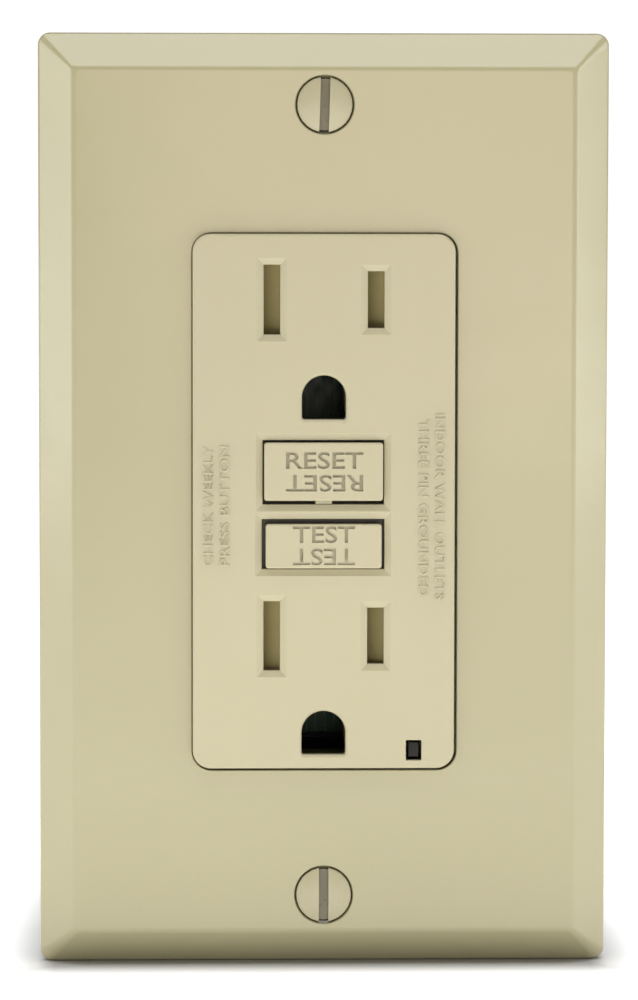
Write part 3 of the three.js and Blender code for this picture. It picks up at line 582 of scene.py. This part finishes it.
# ---------------------------------------------------------------- cuts and edges


def grown(half_width, half_height, radius, x=0.0, z=0.0, steps=8):
    """A rounded rectangle that can be asked for at any growth of its outline."""
    return lambda growth: rounded_rectangle(
        half_width + growth, half_height + growth, radius + growth, steps, x, z)


def mitred(half_width, half_height, x, z):
    """A square-cornered rectangle that stays square however much it grows."""
    return lambda growth: rounded_rectangle(half_width + growth, half_height + growth, 0.06, 2, x, z)


def loft_steps(outline, steps):
    """A loft through (growth, depth) steps of one outline."""
    return loft([(outline(growth), depth) for growth, depth in steps])


def rounded_block(outline, front, back, edge):
    """A block whose front edge is rounded."""
    rounding = [(-inset, front + depth) for inset, depth in fillet(edge)]
    return loft_steps(outline, rounding + [(0, back)])


def flared_hole(outline, front, back, edge):
    """The tool that cuts a hole with a rounded rim."""
    rim = [(inset, front + depth) for inset, depth in fillet(edge, 4)]
    mouth = [(edge, front - 1), (rim[0][0], rim[0][1] - 0.003)]
    return loft_steps(outline, mouth + rim[1:] + [(0, back)])


def chamfered_hole(outline, front, back, width, depth):
    """The tool that cuts a hole with a flat chamfer, whose two edges are a little soft."""
    soft = 0.07
    steps = [
        (width + soft, front - 1), (width + soft, front - 0.003), (width, front + 0.25 * soft),
        (width - soft, front + soft), (soft, front + depth - soft), (0.2 * soft, front + depth),
        (0, front + depth + soft), (0, back),
    ]
    return loft_steps(outline, steps)


def rod_shape(axis, ends, radius, centre, sides=40):
    return lathe([(0, ends[0]), (radius, ends[0]), (radius, ends[1]), (0, ends[1])], axis, centre, sides)


def ground_tool(z, growth):
    """The tool that cuts a ground hole right through, larger than the hole by growth."""
    outline = ground_outline(GROUND_RADIUS + growth, DEVICE_X, z)
    return loft([(outline, depth) for depth in THROUGH])


def device_box(half, depths):
    """A box centred on the device."""
    return box_shape((DEVICE_X - half[0], DEVICE_X + half[0]), depths,
                     (DEVICE_Z - half[1], DEVICE_Z + half[1]))


def slab_in_x(points, ends):
    """An outline in Y and Z, made solid from one X to another."""
    count = len(points)
    vertices = [(x, y, z) for x in ends for y, z in points]
    faces = [list(range(count)), [count + i for i in reversed(range(count))]]
    faces += [[i, count + i, count + (i + 1) % count, (i + 1) % count] for i in range(count)]
    shape = mesh_from(vertices, faces)
    face_outwards(shape)
    return shape


def corner_rods(ends, radius):
    """Four rods along the assembly screws."""
    return [
        rod_shape("y", ends, radius, (DEVICE_X + side_x * CORNER[0], 0, DEVICE_Z + side_z * CORNER[1]))
        for side_x in SIDES for side_z in SIDES
    ]


def lettering(text, width, height, depth, place, turn=0.0, weight=0.0, slope=0.0):
    """A word as a solid that faces the room, fitted to a width and a cap height and turned clockwise.
    Its strokes are made heavier by weight and their sides sloped by slope, in font units."""
    curve = bpy.data.curves.new("word", "FONT")
    curve.body = text
    curve.extrude = 0.5 - slope
    curve.bevel_depth = slope
    curve.bevel_resolution = 0
    curve.offset = weight - slope
    curve.resolution_u = 3
    word = bpy.data.objects.new("word", curve)
    bpy.context.scene.collection.objects.link(word)
    graph = bpy.context.evaluated_depsgraph_get()
    mesh = bpy.data.meshes.new_from_object(word.evaluated_get(graph))
    bpy.data.objects.remove(word)
    bpy.data.curves.remove(curve)
    low = Vector([min(v.co[i] for v in mesh.vertices) for i in range(3)])
    high = Vector([max(v.co[i] for v in mesh.vertices) for i in range(3)])
    size = high - low
    fit = Matrix.Diagonal((width / size.x, height / size.y, depth / size.z, 1))
    stand = Matrix.Rotation(math.pi / 2, 4, "X")
    spin = Matrix.Rotation(math.radians(turn), 4, "Y")
    centred = Matrix.Translation(-(low + high) / 2)
    mesh.transform(Matrix.Translation(place) @ spin @ stand @ fit @ centred)
    shape = bpy.data.objects.new("word", mesh)
    bpy.context.scene.collection.objects.link(shape)
    work = bmesh.new()
    work.from_mesh(mesh)
    bmesh.ops.remove_doubles(work, verts=work.verts, dist=0.0005)
    work.to_mesh(mesh)
    work.free()
    return shape

# ---------------------------------------------------------------- screws and springs


def screw_shape(axis, side, seat, centre, head_profile, shank, length, slots, slot_depth):
    """A screw with a helical thread. head_profile is (radius, height above the seat) from the crown
    down, and slots are (half length, half width) of the cuts across it. side is the way its head
    faces."""
    rings = max(2, round(6 * (length - 0.6) / THREAD_PITCH))
    profile = [(radius, -height) for radius, height in head_profile]
    profile += [(shank, 0.6 + (length - 0.9) * i / rings) for i in range(rings + 1)]
    profile += [(shank - 0.5, length), (0, length)]

    def threaded(radius, distance, angle):
        if radius != shank or not 0.6 < distance < length:
            return radius
        phase = (distance / THREAD_PITCH - side * angle / (2 * math.pi)) % 1
        run_out = min(1, (distance - 0.6) / THREAD_PITCH, (length - distance) / THREAD_PITCH)
        return radius - 0.3 * run_out * abs(2 * phase - 1)

    placed = [(radius, seat - side * distance) for radius, distance in profile]
    shape = lathe(placed, axis, centre, 28,
                  lambda radius, place, angle: threaded(radius, side * (seat - place), angle))
    crown = seat + side * head_profile[0][1]
    tools = []
    for index, (half_length, half_width) in enumerate(slots):
        across = (half_width, half_length) if index == 0 else (half_length, half_width)
        ends = sorted((crown - side * slot_depth, crown + side * 2))
        ranges = {
            "y": ((-across[0], across[0]), ends, (-across[1], across[1])),
            "x": (ends, (-across[1], across[1]), (-across[0], across[0])),
            "z": ((-across[1], across[1]), (-across[0], across[0]), ends),
        }[axis]
        tool = box_shape(*ranges)
        tool.data.transform(Matrix.Translation(centre))
        tools.append(tool)
    return combine(shape, tools)


def pan_head(radius, rise, steps=6):
    """A head's section: a flat crown, a rounded shoulder, a straight side and a flat seat."""
    rounding = rise * 0.55
    section = [(0, rise), (radius - 1.6 * rounding, rise)]
    for i in range(1, steps + 1):
        angle = math.pi / 2 * i / steps
        inset = 1.6 * rounding * (1 - math.sin(angle))
        section.append((radius - inset, rise - rounding * (1 - math.cos(angle))))
    return section + [(radius, 0.1), (radius - 0.1, 0)]


def spring_shape(axis, ends, radius, wire, turns, centre, steps=28, sides=8):
    """A compression spring whose end turns lie flat."""
    length = ends[1] - ends[0] - 2 * wire
    count = turns * steps
    vertices = []
    for i in range(count + 1):
        turn = i / steps
        share = min(max((turn - 0.6) / (turns - 1.2), 0), 1)
        place = ends[0] + wire + length * share
        angle = 2 * math.pi * turn
        for j in range(sides):
            around = 2 * math.pi * j / sides
            reach = radius + wire * math.cos(around)
            along = place + wire * math.sin(around)
            vertices.append((reach * math.cos(angle), along, reach * math.sin(angle)))
    faces = [list(range(sides)), [count * sides + j for j in reversed(range(sides))]]
    for i in range(count):
        for j in range(sides):
            k = (j + 1) % sides
            faces.append([i * sides + j, (i + 1) * sides + j, (i + 1) * sides + k, i * sides + k])
    shape = mesh_from(vertices, faces)
    shape.data.transform(Matrix.Translation(centre) @ AXIS_TURN[axis])
    face_outwards(shape)
    return shape

# ---------------------------------------------------------------- wall plate and its screws


def wall_plate():
    """A bevelled plate with soft mitres, hollow behind, with a flared opening and countersinks."""
    half_width, half_height = plate_high.x, plate_high.z
    bevel = {"field": 4.79, "slope": math.atan2(4.2, 4.3), "upper": 1.2, "lower": 0.8, "foot": -1.063}
    steps = 6
    section = []
    for i in range(steps + 1):
        angle = bevel["slope"] * i / steps
        depth = PLATE_FRONT + bevel["upper"] * (1 - math.cos(angle))
        section.append((bevel["field"] - bevel["upper"] * math.sin(angle), depth))
    for i in range(steps + 1):
        angle = bevel["slope"] + (math.pi / 2 - bevel["slope"]) * i / steps
        inset = bevel["lower"] * (1 - math.sin(angle))
        section.append((inset, bevel["foot"] - bevel["lower"] * math.cos(angle)))
    section += [(0, -0.15), (0.05, -0.04), (0.16, 0)]
    outer = loft([
        (rounded_rectangle(half_width - inset, half_height - inset, 1.5 - 0.2 * inset), depth)
        for inset, depth in section
    ])
    inside = grown(half_width - 1.8, half_height - 1.8, 1)
    hollow = loft_steps(inside, [(-2.4, -3.4), (-2.2, -3.35), (-0.1, -0.95), (0, -0.8), (0, 1)])
    collar_outline = grown(OPENING_HALF[0] + 1.5, OPENING_HALF[1] + 1.5, 3)
    collar = loft_steps(collar_outline, [(0, -3.6), (0, -2.75), (-0.15, -2.6)])
    opening = flared_hole(grown(*OPENING_HALF, 2.4, *OPENING_CENTRE), PLATE_FRONT, 3, 0.16)
    countersink = [
        (0, -8), (3.76, -8), (3.76, -5.603), (3.66, -5.56), (3.59, -5.44), (3.57, -5.2), (2, -3.7),
        (2, 3), (0, 3),
    ]
    countersinks = [lathe(countersink, "y", (0, 0, side * PLATE_SCREW_Z), 64) for side in SIDES]
    shape = combine(outer, [hollow])
    shape = combine(shape, [collar], "UNION")
    piece(combine(shape, [opening] + countersinks), "plate", "wall_plate", PLATE_IVORY)


def plate_screw(side, name, tilt):
    """An oval-head screw: a shallow dome over a cone, a slot and a threaded shank."""
    radius, crown, rim = 3.38, 0.75, 0.15
    dome = [(radius * i / 8, crown - (crown - rim) * (i / 8) ** 2.2) for i in range(8)]
    shank = 1.7
    head = dome + [
        (radius - 0.05, rim + 0.06), (radius, rim - 0.02), (radius, 0), (radius - 0.15, -0.13),
        (shank, -1.5),
    ]
    centre = (0, 0, side * PLATE_SCREW_Z)
    shape = screw_shape("y", -1, -5.2, (0, 0, 0), head, shank, 13.2, [(5, 0.585)], 0.95)
    shape.data.transform(Matrix.Translation(centre) @ Matrix.Rotation(tilt, 4, "Y"))
    piece(shape, name + "_shape", name)

# ---------------------------------------------------------------- face cover


def face_cover():
    """The device's face: a rounded boss on a flange, with slots, ground holes and key windows."""
    boss_outline = grown(*FACE_HALF, 2.2, DEVICE_X, DEVICE_Z)
    boss = rounded_block(boss_outline, FACE_FRONT, -1.8, 0.35)
    skirt_outline = grown(*BODY_HALF, 2.5, DEVICE_X, DEVICE_Z)
    skirt = rounded_block(skirt_outline, -2.3, cover_high.y, 0.4)
    shape = combine(boss, [skirt], "UNION")
    cavity = device_box((14.75, 31.45), (-4.6, 20))
    skirt_hollow = device_box(INNER_HALF, (-0.8, 20))
    notch = box_shape((DEVICE_X - 15, DEVICE_X + 15), (0.7, 20), (-FAR, FAR))
    shape = combine(shape, [cavity, skirt_hollow, notch])
    tubes = [
        loft([(ground_outline(GROUND_RADIUS + 1.1, DEVICE_X, z), depth) for depth in (-4.8, -1.6)])
        for z in GROUND_HOLES
    ]
    shape = combine(shape, tubes + corner_rods((-2.1, cover_high.y), 2.4), "UNION")
    tools = corner_rods((0.9, 20), SCREW_HOLE)
    for z in GROUND_HOLES:
        rim = [(0.38, FACE_FRONT - 1), (0.38, FACE_FRONT - 0.003), (0.3, FACE_FRONT + 0.02),
               (0.12, FACE_FRONT + 0.14), (0.03, FACE_FRONT + 0.28), (0, FACE_FRONT + 0.4), (0, 5)]
        tools.append(loft([
            (ground_outline(GROUND_RADIUS + growth, DEVICE_X, z, 0.3 + growth), y) for growth, y in rim
        ]))
    for z in OUTLETS.values():
        for side, height in SLOTS:
            outline = mitred(SLOT_WIDTH / 2, height / 2, DEVICE_X + side * BLADE_X, z)
            tools.append(chamfered_hole(outline, FACE_FRONT, 0, CHAMFER, 0.45))
    for key in (RESET, TEST):
        outline = mitred(*key["window"], key["window_x"], key["window_z"])
        tools.append(chamfered_hole(outline, FACE_FRONT, 0, CHAMFER, 0.35))
    light = grown(0.95, 1.23, 0.12, LIGHT_X, LIGHT_Z, 3)
    tools.append(flared_hole(light, FACE_FRONT, 0, 0.15))
    piece(combine(shape, tools), "outlet_face", "face_cover", FACE_IVORY)


def side_lettering():
    """Low-relief words beside the keys: generic words of advice, not a maker's. Their backs reach
    through the face's wall."""
    lines = [
        ("CHECK WEEKLY", 14.8, -14.2, -0.4, -90),
        ("PRESS BUTTON", 14.8, -12.2, -0.4, -90),
        ("INDOOR WALL OUTLETS", 22.9, 14.1, -0.55, 90),
        ("THREE PIN GROUNDED", 21.7, 12.1, -0.65, 90),
    ]
    height, depth, middle = 1.3, 3.2, FACE_FRONT + 1.4
    words = [
        lettering(text, length, height, depth, (x, middle, z), turn, 0.03, 0.06)
        for text, length, x, z, turn in lines
    ]
    base = combine(words[0], words[1:], "UNION")
    base.name = "side_lettering"
    base.data.name = "side_lettering"
    base.data.transform(Matrix.Scale(MM, 4))
    base.data.materials.clear()
    base.data.materials.append(FACE_IVORY)
    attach(base, "outlet")

# ---------------------------------------------------------------- keys


def key_cap(key):
    """A key: a cap with a soft edge, a lip that holds it in, and its word cut in both ways up."""
    outline = grown(key["half"][0], key["half"][1], 0.35, key["x"], key["z"], 6)
    cap = rounded_block(outline, key["front"], key["back"], 0.24)
    lip = box_shape((key["x"] - 8.15, key["x"] + 8.15), (key["lip"], key["back"]), key["lip_z"])
    shape = combine(cap, [lip], "UNION")
    word, width, upright, inverted, height = key["word"]
    middle = key["front"] + 0.05
    tools = [
        lettering(word, width, height, 0.6, (key["word_x"], middle, upright), 0, 0.012),
        lettering(word, width, height, 0.6, (key["word_x"], middle, inverted), 180, 0.012),
    ]
    return combine(shape, tools)


RESET = {
    "x": -0.03 + DEVICE_X, "z": 3.75 + DEVICE_Z, "half": (7.25, 3.55), "front": -7.0, "back": -2.7,
    "lip": -3.5, "lip_z": (-0.62, 8.43), "word": ("RESET", 9.4, 5.2, 2.42, 2.08), "word_x": 0.0,
    "window": (7.41, 3.925), "window_x": -0.06 + DEVICE_X, "window_z": 3.665 + DEVICE_Z,
}
TEST = {
    "x": -0.02 + DEVICE_X, "z": -5.36 + DEVICE_Z, "half": (7.075, 2.71), "front": -7.1, "back": -3.4,
    "lip": -4.2, "lip_z": (-8.92, -1.32), "word": ("TEST", 7.55, -3.85, -6.57, 2.08), "word_x": -0.075,
    "window": (7.485, 3.065), "window_x": -0.08 + DEVICE_X, "window_z": -5.135 + DEVICE_Z,
}


def reset_button():
    """The reset key, with the hub that holds its pin and a small guide rib in the gap below it."""
    shape = key_cap(RESET)
    low_edge = RESET["z"] - RESET["half"][1]
    rib = box_shape((-1.08, 0.91), (-6.35, -3.4), (low_edge - 0.4, low_edge + 0.2))
    hub = rod_shape("y", (RESET["back"] - 0.2, 0.6), 2.2, (DEVICE_X, 0, RESET["z"]))
    bore = rod_shape("y", (-3.3, 5), 1.3, (DEVICE_X, 0, RESET["z"]))
    shape = combine(shape, [rib, hub], "UNION")
    piece(combine(shape, [bore]), "reset_key_cap", "reset_button", KEY_IVORY)


def test_button():
    """The test key, with the peg that bends its contact leaf."""
    shape = key_cap(TEST)
    root = TEST["back"] - 0.2
    peg = lathe([(0, root), (1.2, root), (1.2, 4.3), (0.9, 4.6), (0, 4.6)], "y", (PEG_X, 0, TEST["z"]))
    piece(combine(shape, [peg], "UNION"), "test_key_cap", "test_button", KEY_IVORY)

# ---------------------------------------------------------------- the strap


def mounting_strap():
    """A steel stamping: a joggled strip with round-lobed ears, its holes, and the ground tab."""
    reach = 53.2
    samples = 8
    bends = [(34.8 + 2.3 * i / samples, 1.65 - 2.3 * (3 * (i / samples) ** 2 - 2 * (i / samples) ** 3))
             for i in range(samples + 1)]
    line = [(-reach, -0.65)] + [(-z, y) for z, y in reversed(bends)] + bends + [(reach, -0.65)]
    front = [(y - 0.65, z + DEVICE_Z) for z, y in line]
    back = [(y + 0.65, z + DEVICE_Z) for z, y in reversed(line)]
    sheet = slab_in_x(front + back, (-25, 25))
    middle = device_box((14.2, 35.6), THROUGH)
    ears = [
        loft_steps(grown(12, 10, 1.5, DEVICE_X, DEVICE_Z + side * 43.2), [(0, -4.9), (0, 4.9)])
        for side in SIDES
    ]
    lobes = [
        rod_shape("y", (-4.8, 4.8), 5.2, (DEVICE_X + side_x * 11.5, 0, DEVICE_Z + side * 47.4), 56)
        for side_x in SIDES for side in SIDES
    ]
    outline = combine(middle, ears + lobes, "UNION")
    shape = combine(sheet, [outline], "INTERSECT")
    tab_low = DEVICE_Z - 36.3
    tab = box_shape((DEVICE_X - 14, DEVICE_X - 5), (1.1, 10.8), (tab_low, tab_low + 1.2))
    tab_hole = rod_shape("z", (-40, -30), 2.1, GROUND_SCREW)
    shape = combine(shape, [combine(tab, [tab_hole])], "UNION")
    tools = []
    for side in SIDES:
        tools.append(rod_shape("y", THROUGH, 1.95, (DEVICE_X, 0, DEVICE_Z + side * PLATE_SCREW_Z)))
        oval = grown(3.3, 2.1, 2, DEVICE_X, DEVICE_Z + side * BOX_SCREW_Z)
        tools.append(loft_steps(oval, [(0, depth) for depth in THROUGH]))
        for side_x in SIDES:
            ear_hole = (DEVICE_X + side_x * 11.5, 0, DEVICE_Z + side * 48.6)
            tools.append(rod_shape("y", THROUGH, 1.5, ear_hole))
            slit_x = DEVICE_X + side_x * 7.6
            slit_z = sorted((DEVICE_Z + side * 45, DEVICE_Z + side * 55))
            tools.append(box_shape((slit_x - 0.35, slit_x + 0.35), THROUGH, slit_z))
    for z in OUTLETS.values():
        tools.append(ground_tool(z - GROUND_DROP, 0.8))
        for side in SIDES:
            x = DEVICE_X + side * BLADE_X
            tools.append(box_shape((x - 2.6, x + 2.6), THROUGH, (z - 5.2, z + 5.2)))
    tools.append(rod_shape("y", THROUGH, 3.4, (DEVICE_X, 0, RESET["z"])))
    tools.append(rod_shape("y", THROUGH, 1.8, (PEG_X, 0, TEST["z"])))
    tools.append(box_shape((LIGHT_X - 1.5, LIGHT_X + 1.5), THROUGH, (LIGHT_Z - 1.8, LIGHT_Z + 1.8)))
    shape = combine(shape, tools)
    piece(soften(shape, 0.12, 2, 50), "strap", "mounting_strap")


def ground_contacts():
    """For each outlet, a brass plate with two long fingers that grip a plug's ground pin."""
    start = 2.4
    for name, bladeline in OUTLETS.items():
        z = bladeline - GROUND_DROP
        base = loft_steps(grown(3.6, 3.6, 0.5, DEVICE_X, z), [(0, start), (0, start + 0.8)])
        base = combine(base, [ground_tool(z, 0.55)])
        fingers = [
            box_shape(sorted((DEVICE_X + side * 2.8, DEVICE_X + side * 3.3)), (start, 11),
                      (z - 2.2, z + 2.2))
            for side in SIDES
        ]
        node = "ground_contact_" + name
        piece(soften(combine(base, fingers, "UNION"), 0.06, 2, 40), node + "_shape", node)

# ---------------------------------------------------------------- the rear body


def rear_body():
    """The back housing: a filleted box with terminal windows, wire holes and a sunk back panel."""
    outline = grown(*BODY_HALF, 2.5, DEVICE_X, DEVICE_Z)
    rounding = [(-inset, REAR_BACK - depth) for inset, depth in reversed(fillet(0.9, 6))]
    start = 6.3
    shape = loft_steps(outline, [(-0.15, start), (0, start + 0.15)] + rounding)
    shape = combine(shape, [device_box(INNER_HALF, (-5, 26.6))])
    tongues = [
        box_shape((DEVICE_X - 14.6, DEVICE_X + 14.6), (2.7, 8),
                  sorted((DEVICE_Z + side * (BODY_HALF[1] - 1.8), DEVICE_Z + side * BODY_HALF[1])))
        for side in SIDES
    ]
    shape = combine(shape, corner_rods((start, 28.1), 2.5) + tongues, "UNION")
    tools = corner_rods((0, 40), SCREW_HOLE) + corner_rods((26.7, 40), 2.9)
    wire_hole = [(0, 20), (1.3, 20), (1.3, 28.1), (1.75, 28.61), (1.75, 40), (0, 40)]
    for side_x in SIDES:
        for side_z in SIDES:
            x = DEVICE_X + side_x * 22
            z = DEVICE_Z + side_z * TERMINAL_Z
            window = box_shape((x - 7, x + 7), (9, 21.5), (z - 5.2, z + 5.2))
            tools.append(soften(window, 0.8, 4))
            for place in SIDES:
                hole = (DEVICE_X + side_x * 15.3, 0, z + place * 3.1)
                tools.append(lathe(wire_hole, "y", hole))
    tools.append(rod_shape("z", (-FAR, -30), 2.1, GROUND_SCREW))
    panel = grown(10.5, 19, 1.2, DEVICE_X, DEVICE_Z - 2)
    tools.append(loft_steps(panel, [(-0.35, 28.3), (0, 28.65), (0, 40)]))
    for side in SIDES:
        gauge = grown(0.35, 5.5, 0.3, DEVICE_X + side * 12.9, DEVICE_Z)
        tools.append(loft_steps(gauge, [(-0.15, 28.25), (0, 28.65), (0, 40)]))
    piece(combine(shape, tools), "back_housing", "rear_body")

# ---------------------------------------------------------------- fasteners


TERMINAL_SLOTS = [(5, 0.5), (1.9, 0.45)]


def fasteners():
    """The terminal, assembly, box and ground screws, and the fibre squares on the box screws."""
    places = [
        ("load", "neutral", -1, 1), ("load", "hot", 1, 1),
        ("line", "neutral", -1, -1), ("line", "hot", 1, -1),
    ]
    for index, (circuit, wire, side, side_z) in enumerate(places, start=1):
        node = f"terminal_screw_{circuit}_{wire}"
        centre = (0, TERMINAL_Y, DEVICE_Z + side_z * TERMINAL_Z)
        shape = screw_shape("x", side, DEVICE_X + side * 18.1, centre, pan_head(3.9, 2), 1.9, 5.6,
                            TERMINAL_SLOTS, 1.1)
        piece(shape, node + "_shape", node)
        node = f"assembly_screw_{index}"
        centre = (DEVICE_X + side * CORNER[0], 0, DEVICE_Z + side_z * CORNER[1])
        shape = screw_shape("y", 1, 27, centre, pan_head(2.6, 1.3), 1.35, 25.6,
                            [(1.6, 0.32), (1.6, 0.32)], 0.8)
        piece(shape, node + "_shape", node)
    for name, side in (("top", 1), ("bottom", -1)):
        node = f"box_screw_{name}"
        centre = (DEVICE_X, 0, DEVICE_Z + side * BOX_SCREW_Z)
        shape = screw_shape("y", -1, -1.4, centre, pan_head(3.45, 1.6), 1.7, 22,
                            [(5, 0.5), (1.7, 0.45)], 1.0)
        piece(shape, node + "_shape", node)
        node = f"screw_retainer_{name}"
        fibre = loft_steps(grown(3, 3, 0.6, centre[0], centre[2]), [(0, 0.3), (0, 1)])
        hole = rod_shape("y", THROUGH, 1.95, centre)
        piece(soften(combine(fibre, [hole]), 0.1, 2), node + "_shape", node)
    shape = screw_shape("z", -1, DEVICE_Z - 36.4, GROUND_SCREW, pan_head(3.9, 2), 1.75, 3.5,
                        TERMINAL_SLOTS, 1.1)
    piece(shape, "ground_screw_shape", "ground_screw")


def springs():
    """The coil springs. Those of the reset key and the shutters, which shorten as they are pressed, get
    meshes of their own.
    """
    x, z = DEVICE_X, DEVICE_Z
    reset = spring_shape("y", (-2.5, 2.6), 2.75, 0.22, 5, (x, 0, RESET["z"]))
    piece(reset, "reset_coil", "reset_spring")
    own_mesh(reset)
    for name, bladeline in OUTLETS.items():
        coil = spring_shape("x", (x + 9.3, x + 13.5), 0.7, 0.12, 6, (0, -3.3, bladeline))
        piece(coil, "shutter_coil_" + name, "shutter_spring_" + name)
        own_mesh(coil)
    plunger = spring_shape("x", (x + 11.1, x + 16.4), 1.3, 0.18, 7, (0, 10.6, z - 5.8))
    piece(plunger, "plunger_coil", "plunger_spring")

# ---------------------------------------------------------------- everything inside


def inside_pieces():
    """The remaining pieces keep their CAD shapes, with the small edge radii of real stampings and
    mouldings."""
    widths = {"plated_steel": 0.06, "brass": 0.06, "copper": 0.05, "shutter_plastic": 0.1}
    for node, cad_object in frame["nodes"].items():
        if not cad_object.hide_render:
            shape = soften(node_shape(node), widths.get(SLOT_OF[node], 0.12), 2, 40)
            material = WINDING if node == "solenoid_coil" else None
            piece(shape, node + "_shape", node, material)

# ---------------------------------------------------------------- stage and light


def floor():
    """A white sweep: a floor close to the piece, with a painted contact shadow along its foot, and a
    glowing backdrop further out, whose glow is held back round the piece's outline as a painted soft
    shadow."""
    nodes = Nodes("floor")
    grain = nodes.noise(40, 3, 0.5)
    parts = nodes.add("ShaderNodeSeparateXYZ")
    nodes.link(nodes.place, parts.inputs[0])
    forward = nodes.maths("MULTIPLY", parts.outputs["Y"], -1.0)
    sideways = nodes.maths("ABSOLUTE", parts.outputs["X"])
    pale = nodes.mix(grain, (0.82, 0.82, 0.81), (0.86, 0.86, 0.85))
    # painted contact shadow: the floor goes a little over half way to near black in a strip along the
    # plate's foot, about as wide as the plate, fading out 15 mm in front of it
    foot = nodes.maths("MULTIPLY", nodes.remap(forward, 0.004, 0.015, 0.55, 0),
                       nodes.remap(sideways, 0.033, 0.0352, 1, 0))
    nodes.link(nodes.mix(foot, pale, (0.05, 0.05, 0.05)), nodes.shader.inputs["Base Color"])
    nodes.link(nodes.remap(grain, 0.3, 0.7, 0.5, 0.6), nodes.shader.inputs["Roughness"])
    # the glow rises with distance from the piece's outline; the darker band it leaves round the piece is
    # partly the lamps' real shade and partly painted shadow, set by where the glow starts
    ahead = nodes.remap(forward, 0.006, 0.018, 0, 1.0)
    beside = nodes.remap(sideways, 0.034, 0.043, 0, 1.0)
    behind = nodes.remap(parts.outputs["Y"], 0.03, 0.09, 0, 1.0)
    glow = nodes.maths("MAXIMUM", nodes.maths("MAXIMUM", ahead, beside), behind)
    nodes.link(glow, nodes.shader.inputs["Emission Strength"])
    nodes.set(Emission_Color=(1, 1, 1, 1))
    size = 4000
    outline = [(-size, -size), (size, -size), (size, size), (-size, size)]
    height = cad_low.z / MM - 0.02
    sheet = mesh_from([(x, y, height) for x, y in outline], [[0, 1, 2, 3]], "floor")
    sheet.data.transform(Matrix.Scale(MM, 4))
    sheet.data.materials.append(nodes.material)


def area_light(name, place, aim, size, glow, colour=(1, 1, 1), roll=0.0):
    """A softbox of a given brightness, turned about its own axis by roll."""
    data = bpy.data.lights.new(name, "AREA")
    data.shape = "RECTANGLE"
    data.size, data.size_y = size
    data.energy = glow * math.pi * size[0] * size[1]
    data.color = colour
    lamp = bpy.data.objects.new(name, data)
    lamp.location = place
    lamp.rotation_mode = "QUATERNION"
    face = (Vector(aim) - Vector(place)).to_track_quat("-Z", "Y")
    lamp.rotation_quaternion = face @ Matrix.Rotation(roll, 3, "Z").to_quaternion()
    bpy.context.scene.collection.objects.link(lamp)
    return lamp


def lights():
    """A box over the piece, one at each side, a strip low in front for the lower bevel, and a warm one
    beside the camera, whose tilted left edge is the soft boundary across the glossy plate."""
    area_light("overhead", (0.0, -0.08, 0.7), (0, -0.02, 0), (1.0, 0.5), 3.9)
    area_light("beside_camera", (0.125, -1.0, -0.14), (0.125, 0, -0.14), (0.24, 1.0), 2.9,
               (1, 0.8, 0.74), 0.24)
    area_light("left_side", (-0.8, -0.14, 0.0), (0, 0, 0), (0.4, 0.9), 3.3)
    area_light("right_side", (0.8, -0.14, 0.0), (0, 0, 0), (0.4, 0.9), 3.4)
    strip = area_light("low_front", (0, -0.2, -0.0415), (0, 0, -0.0415), (0.4, 0.028), 4.6)
    strip.visible_glossy = False
    world = bpy.data.worlds.new("room")
    bpy.context.scene.world = world
    world.use_nodes = True
    background = world.node_tree.nodes["Background"]
    path = world.node_tree.nodes.new("ShaderNodeLightPath")
    strength = world.node_tree.nodes.new("ShaderNodeMapRange")
    strength.inputs["To Min"].default_value = 0.06
    strength.inputs["To Max"].default_value = 1.05
    world.node_tree.links.new(path.outputs["Is Camera Ray"], strength.inputs["Value"])
    world.node_tree.links.new(strength.outputs["Result"], background.inputs["Strength"])
    background.inputs["Color"].default_value = (1, 1, 1, 1)

# ---------------------------------------------------------------- finishes of the ivory mouldings, and the shade painted into their recesses

# Regions where the ivory is darkened with depth as painted shade, each (depths, reach, amount, centre)
# in millimetres: the walls deep in the face's slots, holes and key gaps; the floors of the words cut in
# the keys; the wall of the plate's opening; and the plate's countersinks round the screws.
FACE_PAINTED_SHADE = ((FACE_FRONT + 0.75, FACE_FRONT + 1.6), (16.1, 32.8), 0.9, (DEVICE_X, DEVICE_Z))
WORD_PAINTED_SHADE = ((FACE_FRONT - 0.28, FACE_FRONT - 0.12), (7, 7), 0.22, (DEVICE_X, DEVICE_Z))
OPENING_PAINTED_SHADE = ((PLATE_FRONT + 0.5, PLATE_FRONT + 1.2), (16.9, 33.6), 0.9, (0, 0))
SCREW_PAINTED_SHADES = [((-5.4, -5.1), (3.85, 3.85), 0.85, (0, side * PLATE_SCREW_Z)) for side in SIDES]
FACE_COLOUR = srgb(171, 164, 134)
FACE_IVORY = moulded_ivory("face_ivory", FACE_COLOUR, 0.34, recesses=[FACE_PAINTED_SHADE])
KEY_IVORY = moulded_ivory("key_ivory", FACE_COLOUR, 0.34, recesses=[FACE_PAINTED_SHADE, WORD_PAINTED_SHADE])
PLATE_IVORY = moulded_ivory("plate_ivory", srgb(162, 156, 123), 0.13,
                            recesses=[OPENING_PAINTED_SHADE, *SCREW_PAINTED_SHADES])

# ---------------------------------------------------------------- making it all

wall_plate()
plate_screw(1, "plate_screw_top", 0.03)
plate_screw(-1, "plate_screw_bottom", 0.0)
face_cover()
side_lettering()
reset_button()
test_button()
mounting_strap()
ground_contacts()
rear_body()
fasteners()
springs()
inside_pieces()
floor()
lights()
bpy.context.scene.view_settings.view_transform = "Standard"
